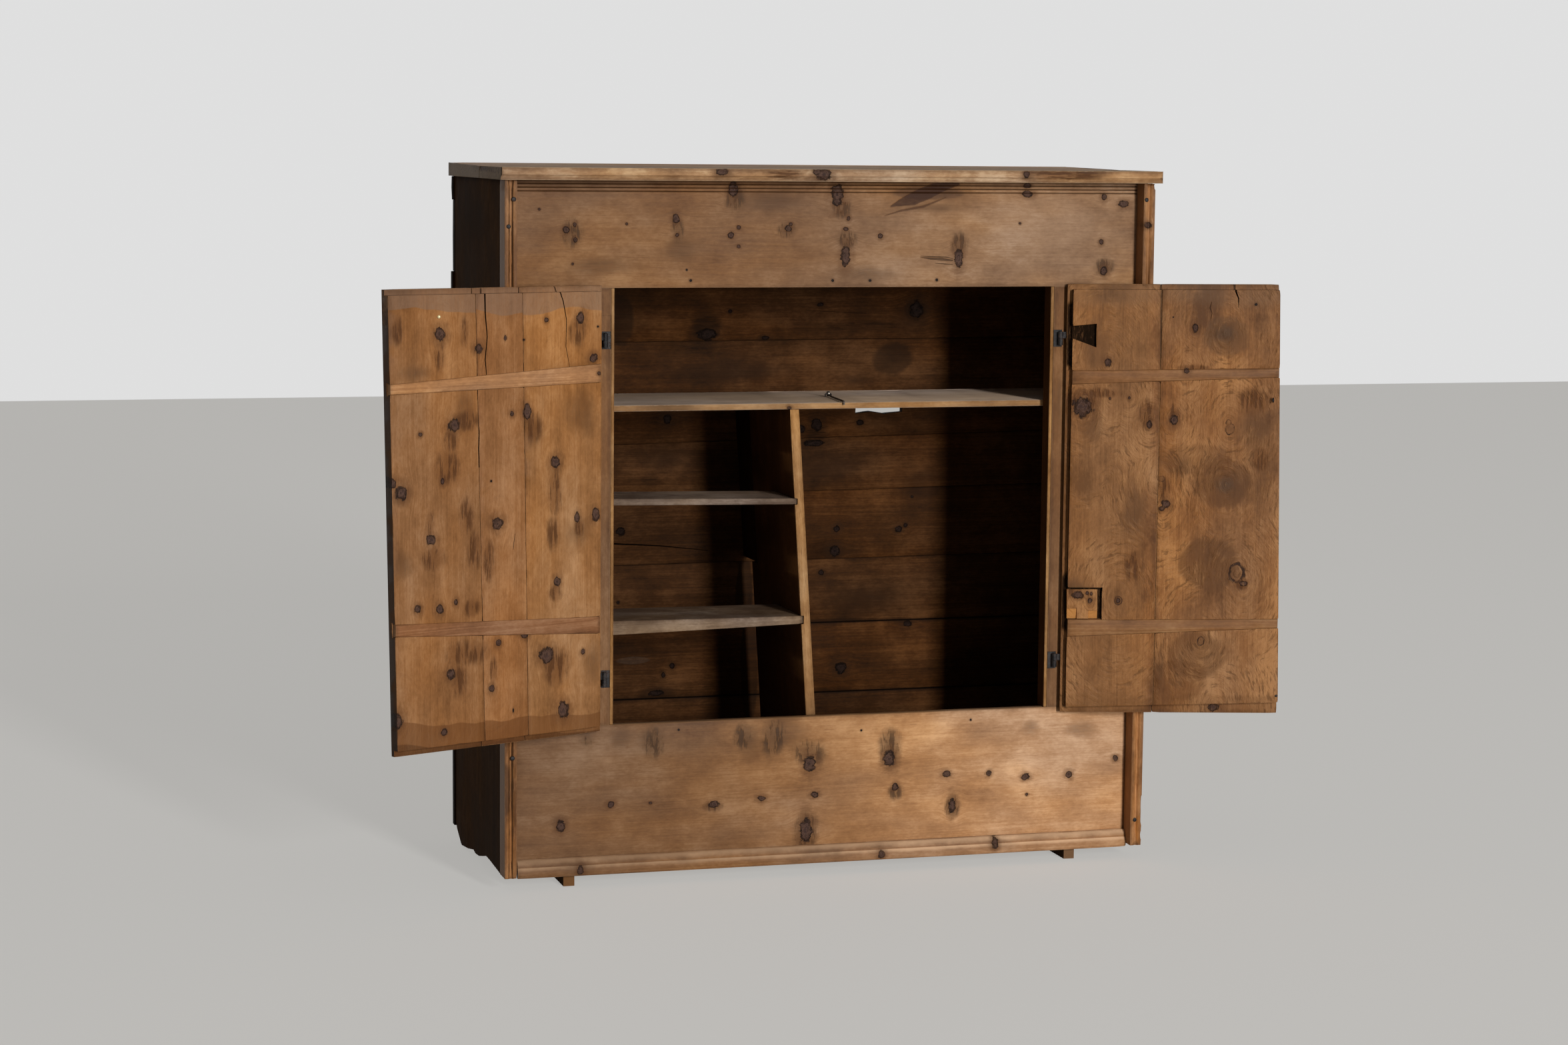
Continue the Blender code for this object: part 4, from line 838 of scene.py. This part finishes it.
baseMoulding = {
    "knots": [(1632, 1250, 4, 3), (1643, 1256, 3, 3), (871, 1309, 4, 3), (1035, 1288, 5, 4), (1078, 1288, 2, 2),
              (1323, 1285, 4, 3), (1495, 1272, 4, 3), (1226, 1275, 5, 4)],
    "cracks": [([(774, 1307, 0.0022), (798, 1307, 0.0016), (822, 1303, 0.0012), (848, 1301, 0.0003)], (26, 15, 9),
                0.0005, 0.0016)],
    "stains": [(1035, 1290, 30, 12), (870, 1306, 30, 8), (1500, 1270, 30, 8), (1240, 1280, 40, 8)],
    "lightFalloff": (0.95, (1.7, 1.75, 1.8), (1000, 1290), (1500, 1265)),
    "groove": 0.15,
    "paintedTopLight": (206, 168, 132),
    "ends": 0.2,
}
dress("base_moulding", alongX, toFront, "front", worn={"dents": 0.0006}, **baseMoulding)

topEdge = {
    "knots": [(1083, 257, 9, 6), (1236, 262, 12, 9), (1226, 257, 6, 6), (1540, 262, 5, 5)],
    "stains": [(1236, 262, 24, 14), (1085, 262, 18, 10), (1540, 264, 16, 10), (1620, 262, 40, 8)],
    "flames": [(1600, 262, 60, 8), (1180, 262, 30, 8)],
    "grime": 0.8,
    "ends": 0.92,
    "through": 0.026,
    "knotsThrough": False,
}
dress("top_front_board", alongX, toFront, "top", worn={"dents": 0.0011, "step": 0.014, "arris": 0.0014}, **topEdge)
dress("top_rear_board", alongX, upwards, "top", worn={"dents": 0.0008, "step": 0.03}, ends=0.92)

# Bites are broken arrises: u, v, half width, half height and depth
mouldings = {
    "left": {
        "worn": {"dents": 0.0011, "step": 0.012, "bites": [
            (757, 1166, 6, 16, 0.011), (756, 1188, 9, 16, 0.014), (756, 1212, 5, 18, 0.009),
            (755, 1284, 4, 20, 0.006)]},
        "stains": [(770, 1180, 8, 60), (764, 560, 6, 60)],
        # the dark wash is painted shade inside the broken arris
        "washes": [(758, 1184, 9, 40, 0.9, (34, 20, 11))],
        "rim": (58, 38, 24),
        "nails": [(771, 299), (763, 340), (769, 1138)],
    },
    "right": {
        "worn": {"dents": 0.0011, "step": 0.012, "bites": [
            (1714, 1216, 4, 26, 0.006), (1714, 1250, 3, 14, 0.008), (1733, 280, 5, 5, 0.006)]},
        "knots": [(1722, 338, 7, 5), (1704, 1000, 3, 3)],
        "stains": [(1722, 338, 12, 16), (1722, 420, 10, 30)],
        "washes": [(1709, 1244, 5, 22, 0.9, (190, 120, 52))],
        "level": (1.3, 1.28, 1.2),
        "nails": [(1720, 300), (1702, 1230)],
    },
}
nailPlaces = []
for side, moulding in mouldings.items():
    nails = moulding.pop("nails")
    board = dress("corner_moulding_" + side, upwards, toFront, "moulding", grime=0.9, **moulding)
    nailPlaces += [(board, u, v) for u, v in nails]
for side in ("left", "right"):
    dress("front_stile_" + side, upwards, toFront, "front", grime=0.7, level=(0.78, 0.74, 0.68),
          stains=[(912, 540, 6, 24), (1588, 600, 6, 60)])
    dress("jamb_lining_" + side, upwards, toFront, "inner", faceTone="edge", grime=0.4)
    out = toLeft if side == "left" else toRight
    dress("side_" + side, upwards, out, "side", worn={"dents": 0.0008, "step": 0.035},
          stains=[(715, 330, 30, 50)], grime=0.9)
    dress("skid_" + side, alongY, toFront, "side", worn={"step": 0.03}, faceTone="front")
print("front and sides dressed")

# Inside: the back planks, shelf, partition and half shelves
inside = {
    "knots": [
        (1001, 629, 6, 7), (931, 797, 7, 6), (927, 904, 2, 2), (1225, 637, 8, 10), (1202, 644, 5, 6),
        (1221, 665, 16, 5), (1358, 788, 3, 3), (1348, 794, 5, 5), (1255, 794, 5, 5), (1252, 827, 8, 8),
        (1232, 859, 4, 4), (1261, 1002, 9, 8), (995, 1013, 3, 4), (1008, 999, 4, 4), (1230, 457, 5, 3),
        (1375, 465, 10, 14), (1060, 502, 14, 9), (1095, 467, 3, 3), (1148, 507, 6, 3), (1258, 429, 10, 3),
        (1290, 634, 5, 5), (1368, 745, 2, 2), (1361, 935, 6, 5), (984, 1040, 12, 4),
    ],
    "flames": [(1060, 490, 26, 22), (1300, 490, 60, 8), (1375, 462, 16, 18), (1225, 650, 20, 14), (975, 720, 14, 10)],
    "stains": [
        (1337, 537, 34, 28), (1279, 571, 30, 12), (1000, 690, 60, 30), (1250, 700, 70, 30), (1300, 900, 90, 30),
        (1360, 480, 30, 30), (1100, 560, 120, 18), (1380, 720, 50, 40), (990, 1040, 30, 12), (1260, 828, 60, 14),
    ],
    "washes": [(930, 482, 24, 40, 0.85, (24, 19, 15)), (950, 991, 26, 5, 0.3, (106, 92, 80)),
               (1337, 540, 34, 26, 0.85, (22, 15, 10)), (1062, 496, 22, 16, 0.7, (20, 12, 7)),
               # the two near-black washes are painted shade on the back behind the partition
               (1372, 465, 16, 18, 0.7, (20, 12, 7)), (1116, 880, 13, 50, 0.97, (7, 4, 2)),
               (1124, 1000, 13, 100, 0.97, (7, 4, 2))],
    "cracks": [([(921, 816, 0.0014), (990, 819, 0.0010), (1062, 826, 0.0003)], (14, 8, 4), 0.0005, 0.0012),
               ([(1210, 466, 0.0002), (1300, 470, 0.0006)], (20, 11, 6), 0.0005, 0.0004)],
    "grime": 0.9,
}
for number in range(1, 10):
    dress(f"back_plank_{number}", alongX, toFront, "inner",
          worn={"step": 0.05, "dents": 0.0007, "arris": 0.0014, "close": 0.0008},
          contrast=0.35, seam=0.85, rub=0.0, rim=(12, 7, 4), backTone="rear", **inside)
dress("bottom_board", alongX, upwards, "grey", grime=1.0)
dress("upper_shelf", alongX, toFront, "dustAndSheen", faceTone="edge", contrast=0.2, worn={"dents": 0.0006, "step": 0.02},
      knots=[(1184, 612, 3, 3)], stains=[(1010, 612, 60, 6)], grime=0.3)
lean = math.radians(3.75)
leaning = (-math.sin(lean), 0, math.cos(lean))
dress("partition", leaning, toFront, "inner", faceTone="edge", worn={"dents": 0.0005, "step": 0.03}, grime=0.25)
# the rear board is darkened to 0.4 as painted shade, as it gets less light than the partition's front
dress("partition_rear_board", leaning, toLeft, "inner", level=(0.4, 0.4, 0.4))
for level in ("upper", "lower"):
    dress("half_shelf_" + level, alongX, toFront, "grey",
          worn={"dents": 0.0012, "step": 0.010, "waney": 0.0016, "waneyFace": Vector(toFront)},
          stains=[(1000, 750, 40, 6), (960, 935, 40, 12)], grime=0.9)
    dress("half_shelf_cleat_" + level, alongY, toRight, "inner")
for side, out in (("left", toRight), ("right", toLeft)):
    dress("shelf_cleat_" + side, alongY, out, "inner")
print("inside dressed")

# Doors, seen from their inner faces
leftDoor = {
    "knots": [
        (660, 501, 8, 10), (718, 523, 6, 7), (871, 477, 6, 8), (820, 480, 3, 4), (681, 638, 9, 10), (768, 621, 3, 4),
        (791, 618, 6, 12), (833, 693, 7, 9), (894, 773, 6, 10), (866, 776, 4, 8), (747, 786, 8, 9), (647, 810, 7, 7),
        (836, 873, 5, 7), (627, 914, 5, 6), (660, 914, 5, 7), (820, 983, 11, 11), (874, 978, 3, 4),
        (677, 1012, 6, 8), (748, 964, 4, 5), (738, 1033, 4, 5), (845, 1065, 9, 12), (666, 1099, 5, 5),
        (597, 1083, 7, 10), (588, 725, 6, 8),
        (684, 904, 3, 5), (787, 953, 6, 4), (602, 740, 9, 11), (758, 507, 2, 4), (891, 537, 6, 6),
        (664, 722, 3, 5), (631, 652, 3, 3), (853, 424, 7, 4),
    ],
    "flames": [
        (660, 535, 10, 24), (596, 497, 9, 24), (697, 497, 7, 26), (700, 632, 22, 14), (671, 700, 20, 26),
        (700, 770, 12, 30), (712, 828, 12, 30), (734, 845, 10, 34), (833, 740, 12, 40), (829, 800, 12, 30),
        (868, 790, 8, 18), (800, 640, 16, 24), (650, 838, 20, 16), (833, 890, 12, 14), (865, 500, 14, 22),
        (836, 1000, 20, 28), (700, 980, 36, 18), (740, 1005, 6, 22), (690, 1020, 12, 26), (646, 790, 8, 24),
        (708, 912, 12, 12), (676, 662, 14, 18),
    ],
    "stains": [
        (600, 745, 18, 20), (605, 850, 18, 26), (800, 650, 22, 24), (590, 500, 14, 24), (866, 800, 30, 30),
        (622, 560, 30, 12), (697, 610, 18, 34), (873, 620, 30, 40), (845, 560, 40, 16), (890, 990, 18, 40),
    ],
    "cracks": [
        ([(727, 428, 0.0016), (728, 470, 0.0013), (731, 505, 0.0009), (728, 540, 0.0010), (730, 563, 0.0005)],
         (20, 11, 6), 0.0005, 0.0014),
        ([(837, 428, 0.0013), (845, 452, 0.0010), (850, 480, 0.0006), (849, 520, 0.0005), (855, 552, 0.0002)],
         (22, 12, 7), 0.0005, 0.0012),
        ([(720, 640, 0.0002), (718, 672, 0.0011), (719, 702, 0.0009)], (20, 11, 6), 0.0004, 0.0010),
        ([(773, 800, 0.0003), (771, 814, 0.0008), (770, 826, 0.0003)], (26, 15, 9), 0.0004, 0.0006),
        ([(698, 428, 0.0008), (699, 437, 0.0003)], (22, 12, 7), 0.0004, 0.0006),
    ],
    "bands": [((575, 469), (900, 462), (700, 440), 0.92, 0.0012, (126, 102, 84)),
              ((590, 1089), (900, 1071), (700, 1120), 0.9, 0.0012, (92, 52, 22)),
              # the lowest band is painted shade on the lip below
              ((590, 1122), (900, 1098), (700, 1140), 0.8, 0.0012, (58, 32, 14))],
    "rim": (24, 14, 8),
    "holes": [(897, 490, 1.5, 1.5), (786, 510, 1.5, 1.5), (737, 722, 1.5, 1.5), (770, 1066, 1, 3)],
}
rightDoor = {
    "knots": [
        (1793, 492, 4, 7), (1662, 544, 5, 7), (1624, 611, 15, 15), (1724, 637, 4, 6), (1761, 630, 6, 8),
        (1748, 756, 7, 6), (1743, 763, 4, 4), (1677, 901, 3, 4), (1694, 597, 2, 3), (1780, 556, 4, 4),
        (1822, 1063, 8, 6), (1665, 598, 1.5, 2), (1865, 876, 6, 4),
    ],
    "rings": [(1845, 644, 6, 8), (1855, 860, 11, 13), (1801, 962, 5, 6), (1843, 634, 4, 4), (1677, 901, 5, 6),
              (1742, 719, 5, 4)],
    "eyes": [(1838, 728, 14, 13), (1838, 500, 16, 13)],
    "flames": [
        (1624, 600, 26, 16), (1650, 590, 28, 8), (1720, 620, 12, 26), (1745, 735, 10, 20), (1880, 600, 26, 20),
        (1700, 850, 16, 26), (1890, 690, 14, 18), (1760, 620, 8, 16), (1862, 878, 10, 8), (1790, 552, 26, 5),
    ],
    "stains": [
        (1838, 728, 34, 30), (1838, 500, 30, 24), (1770, 700, 30, 26), (1700, 770, 20, 60), (1640, 640, 20, 30),
        (1880, 640, 26, 34), (1640, 520, 26, 40), (1660, 440, 40, 16), (1610, 880, 18, 14), (1740, 1000, 10, 40),
    ],
    "washes": [
        (1812, 847, 50, 42, 0.95, (88, 57, 33)), (1795, 985, 50, 40, 0.9, (86, 54, 30)),
        (1840, 505, 34, 32, 0.7, (92, 66, 44)), (1830, 722, 48, 42, 0.8, (84, 53, 30)),
        (1795, 690, 60, 26, 0.55, (88, 54, 28)), (1620, 893, 26, 14, 0.6, (80, 66, 38)),
        (1765, 1020, 50, 34, 0.8, (94, 58, 30)), (1890, 700, 26, 60, 0.45, (92, 60, 34)),
    ],
    "bands": [((1600, 1046), (1920, 1044), (1760, 1065), 0.5, 0.004, (96, 60, 30)),
              ((1600, 456), (1920, 454), (1760, 425), 0.6, 0.014, (116, 90, 68)),
              ((1729, 420), (1716, 1070), (1700, 700), 0.3, 0.010, (158, 112, 66))],
    "cracks": [([(1853, 421, 0.0022), (1854, 438, 0.0016), (1858, 448, 0.0012), (1858, 462, 0.0003)], (20, 11, 6),
                0.0005, 0.0016),
               ([(1743, 426, 0.0012), (1742, 470, 0.0016), (1741.5, 510, 0.0016), (1740.5, 552, 0.0008)], (22, 12, 6),
                0.0004, 0.0009),
               ([(1818, 452, 0.0003), (1815, 462, 0.0010), (1818, 470, 0.0008), (1816, 480, 0.0002)], (40, 24, 13),
                0.0005, 0.0007)],
    "pits": [(1622, 503, 44, 44), (1626, 904, 46, 44)],
    "rim": (24, 14, 8),
    "holes": [(1884, 457, 2, 2), (1760, 476, 1, 1)],
}
doors = {
    "left": {"look": "door", "planks": 3, "inner": (0.36, -0.93, 0.0), "step": 0.016, "torn": 0.2, "marks": leftDoor},
    "right": {"look": "rightDoor", "planks": 2, "inner": (-0.23, -0.97, 0.0), "step": 0.010, "torn": 1.0,
              "marks": rightDoor},
}
battenLevels = {("left", "upper"): (1.48, 1.68, 2.05), ("left", "lower"): (0.9, 0.86, 0.93),
                ("right", "upper"): (0.87, 0.87, 0.85), ("right", "lower"): (0.87, 0.87, 0.84)}
plankLevels = {("left", 1): (1.1, 1.13, 1.15), ("left", 2): (0.97, 0.93, 0.92), ("left", 3): (0.94, 0.96, 1.03)}
for side, door in doors.items():
    for number in range(1, door["planks"] + 1):
        dress(f"{side}_door_plank_{number}", upwards, door["inner"], door["look"],
              worn={"dents": 0.0007, "step": door["step"], "ripple": 0.00035}, backTone="front", torn=door["torn"],
              level=plankLevels.get((side, number), (1.0, 1.0, 1.0)), **door["marks"])
    for level in ("upper", "lower"):
        flatwise = Vector(door["inner"]).cross(Vector(upwards))
        dress(f"{side}_door_batten_{level}", flatwise, door["inner"], "batten", worn={"dents": 0.0003, "step": 0.03},
              grime=0.6, contrast=0.9, level=battenLevels[side, level],
              knots=[(903, 935, 3, 3), (899, 560, 3, 3), (1780, 557, 4, 4)])
print("doors dressed")

# A let-in patch, nearly flush, fills most of the right door's lower recess; two notches slope in at its foot
letIn = {
    "columns": (1600.5, 1604, 1608, 1612, 1614.6, 1615.2, 1620, 1624, 1628, 1632.4, 1633, 1637, 1641, 1646),
    "rows": (884.5, 888, 893, 898, 903, 907, 911, 915.5, 916.5, 920, 924, 928.3),
    "notches": ((1600, 1615, 911, 0.0050), (1632.7, 1647, 916, 0.0055)),  # from, to, top, depth at the foot
    "start": 0.0012,  # how deep a notch begins
    "sunk": 0.0006,
    "floor": 0.0078,
    "rough": 0.0007,
    "knots": [(1617, 893, 9, 6), (1631, 890, 3, 3), (1637, 891, 2, 3), (1635, 901, 4, 4)],
    "flames": [(1606, 885, 6, 8), (1634, 897, 6, 8)],
    "fresh": (0.0017, (184, 126, 68)),  # below this depth the wood is paler
}


def patchDepth(u, v):
    depth = letIn["sunk"] + letIn["rough"] * abs(noise.noise(Vector((u * 0.21, v * 0.21, 3.0))))
    for left, right, top, foot in letIn["notches"]:
        if left <= u <= right and v > top:
            depth += letIn["start"] + (foot - letIn["start"]) * (v - top) / (letIn["rows"][-1] - top)
    return depth


def rimOf(sheet):
    # the points round the outside of a sheet of rows
    return (sheet[0][:-1] + [row[-1] for row in sheet[:-1]] + sheet[-1][:0:-1]
            + [row[0] for row in sheet[:0:-1]])


def letInPatch():
    board = Board("right_door_plank_1", upwards, doors["right"]["inner"])
    shape = bmesh.new()
    front, back = [], []
    for v in letIn["rows"]:
        for line, depthOf in ((front, patchDepth), (back, lambda u, v: letIn["floor"])):
            row = []
            for u in letIn["columns"]:
                along, across = board.spot(u, v)
                row.append(shape.verts.new(board.origin + board.along * along + board.across * across
                                           - board.out * depthOf(u, v)))
            line.append(row)
    for sheet in (front, back):
        for low, high in zip(sheet, sheet[1:]):
            for i in range(len(low) - 1):
                shape.faces.new((low[i], low[i + 1], high[i + 1], high[i]))
    outer, inner = rimOf(front), rimOf(back)
    for i in range(len(outer)):
        j = (i + 1) % len(outer)
        shape.faces.new((outer[i], outer[j], inner[j], inner[i]))
    bmesh.ops.recalc_face_normals(shape, faces=shape.faces)
    material = wood(board, "rightDoor", seed=31.0, grime=0.0, ends=0.0, torn=0.6, knots=letIn["knots"],
                    flames=letIn["flames"], level=(1.05, 1.05, 1.0), paleBelow=letIn["fresh"])
    piece = pieceOf(shape, "recess_patch", material, 35)
    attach(piece, "door_right")


letInPatch()

# Iron, steel and brass
metals = {
    "black_iron": metal("blackIron", (26, 24, 24), (50, 48, 47), (52, 33, 24), 0.58, 0.6),
    "worn_steel": metal("wornSteel", (74, 70, 66), (118, 112, 104), (76, 52, 38), 0.42, 0.85),
    "brass": metal("dullBrass", (226, 204, 142), (246, 234, 190), (150, 122, 78), 0.42, 0.45),
}
for name in nodes:
    if slotOf[name] in metals:
        paint(name, metals[slotOf[name]])

nailHead = {
    "radius": 0.0044,
    "height": 0.0016,
    "sunk": 0.0004,
    "sides": 9,
    "uneven": 0.10,
    "profile": ((1.0, 0.0), (1.02, 0.35), (0.86, 0.75), (0.45, 0.97)),  # shares of the radius and the height
}


def nail(name, board, u, v):
    # a hammered head, a little lopsided
    along, across = board.spot(u, v)
    middle = board.origin + board.along * along + board.across * across
    count = nailHead["sides"]
    shape = bmesh.new()
    rows = []
    for reach, lift in nailHead["profile"]:
        row = []
        for i in range(count):
            turn = 2 * math.pi * i / count
            spread = nailHead["radius"] * reach * (1 + nailHead["uneven"] * noise.noise(Vector((turn, u, lift))))
            row.append(shape.verts.new(middle + board.along * (spread * math.cos(turn))
                                       + board.across * (spread * math.sin(turn))
                                       + board.out * (nailHead["height"] * lift - nailHead["sunk"])))
        rows.append(row)
    peak = shape.verts.new(middle + board.out * (nailHead["height"] - nailHead["sunk"]))
    for low, high in zip(rows, rows[1:]):
        for i in range(count):
            shape.faces.new((low[i], low[(i + 1) % count], high[(i + 1) % count], high[i]))
    for i in range(count):
        shape.faces.new((rows[-1][i], rows[-1][(i + 1) % count], peak))
    shape.faces.new(rows[0][::-1])
    bmesh.ops.recalc_face_normals(shape, faces=shape.faces)
    piece = pieceOf(shape, name, metals["black_iron"])
    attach(piece, "carcass")


for number, (board, u, v) in enumerate(nailPlaces, 1):
    nail(f"moulding_nail_{number}", board, u, v)
print("metal finished")

# Floor, world and light
studio = {
    "floor": (222, 220, 216),
    "floorHalf": (14, 12),
    "floorGlow": 0.55,
    "fill": 0.11,
    "backdrop": 0.74,
    "keyWatts": 2400.0,
    "keySize": (1.7, 7.0),
    "keyPlace": (3.05, -16.8, 4.0),
    "keyAim": (0.0, 0.0, 0.75),
}


def layFloor():
    # pale paper that keeps the shadow and glows a little to the camera, gloss and glass alone
    width, depth = studio["floorHalf"]
    shape = bmesh.new()
    shape.faces.new([shape.verts.new((width * x, depth * y, 0)) for x, y in ((-1, -1), (1, -1), (1, 1), (-1, 1))])
    finish = Finish(bpy.data.materials.new("floorFinish"))
    finish.feed("Base Color", tone(*studio["floor"]))
    finish.feed("Roughness", 0.8)
    finish.feed("Specular IOR Level", 0.1)
    bright = finish.node("ShaderNodeEmission", {}, {"Color": tone(*studio["floor"]), "Strength": 1.0})
    plain = Value(finish, finish.surface.outputs[0])
    both = finish.node("ShaderNodeMixShader", {}, {0: finish.straightRay() * studio["floorGlow"], 1: plain, 2: bright})
    finish.give(finish.tree.nodes["Material Output"].inputs["Surface"], both)
    mesh = meshOf(shape, "floor")
    mesh.materials.append(finish.owner)
    sheet = bpy.data.objects.new("floor", mesh)
    bpy.context.scene.collection.objects.link(sheet)


layFloor()

world = Finish(bpy.data.worlds.new("studio"), "Background")
bpy.context.scene.world = world.owner
world.feed("Color", (1.0, 1.0, 1.0, 1.0))
world.feed("Strength", world.node("ShaderNodeMapRange", {}, {"Value": world.straightRay(), "To Min": studio["fill"],
                                                             "To Max": studio["backdrop"]}))

keyData = bpy.data.lights.new("key", "AREA")
keyData.energy = studio["keyWatts"]
keyData.shape = "RECTANGLE"
keyData.size, keyData.size_y = studio["keySize"]
key = bpy.data.objects.new("key", keyData)
key.location = fromFrame(*studio["keyPlace"])
key.rotation_euler = (fromFrame(*studio["keyAim"]) - key.location).to_track_quat("-Z", "Y").to_euler()
bpy.context.scene.collection.objects.link(key)
bpy.context.scene.view_settings.view_transform = "Standard"
print("studio lit")
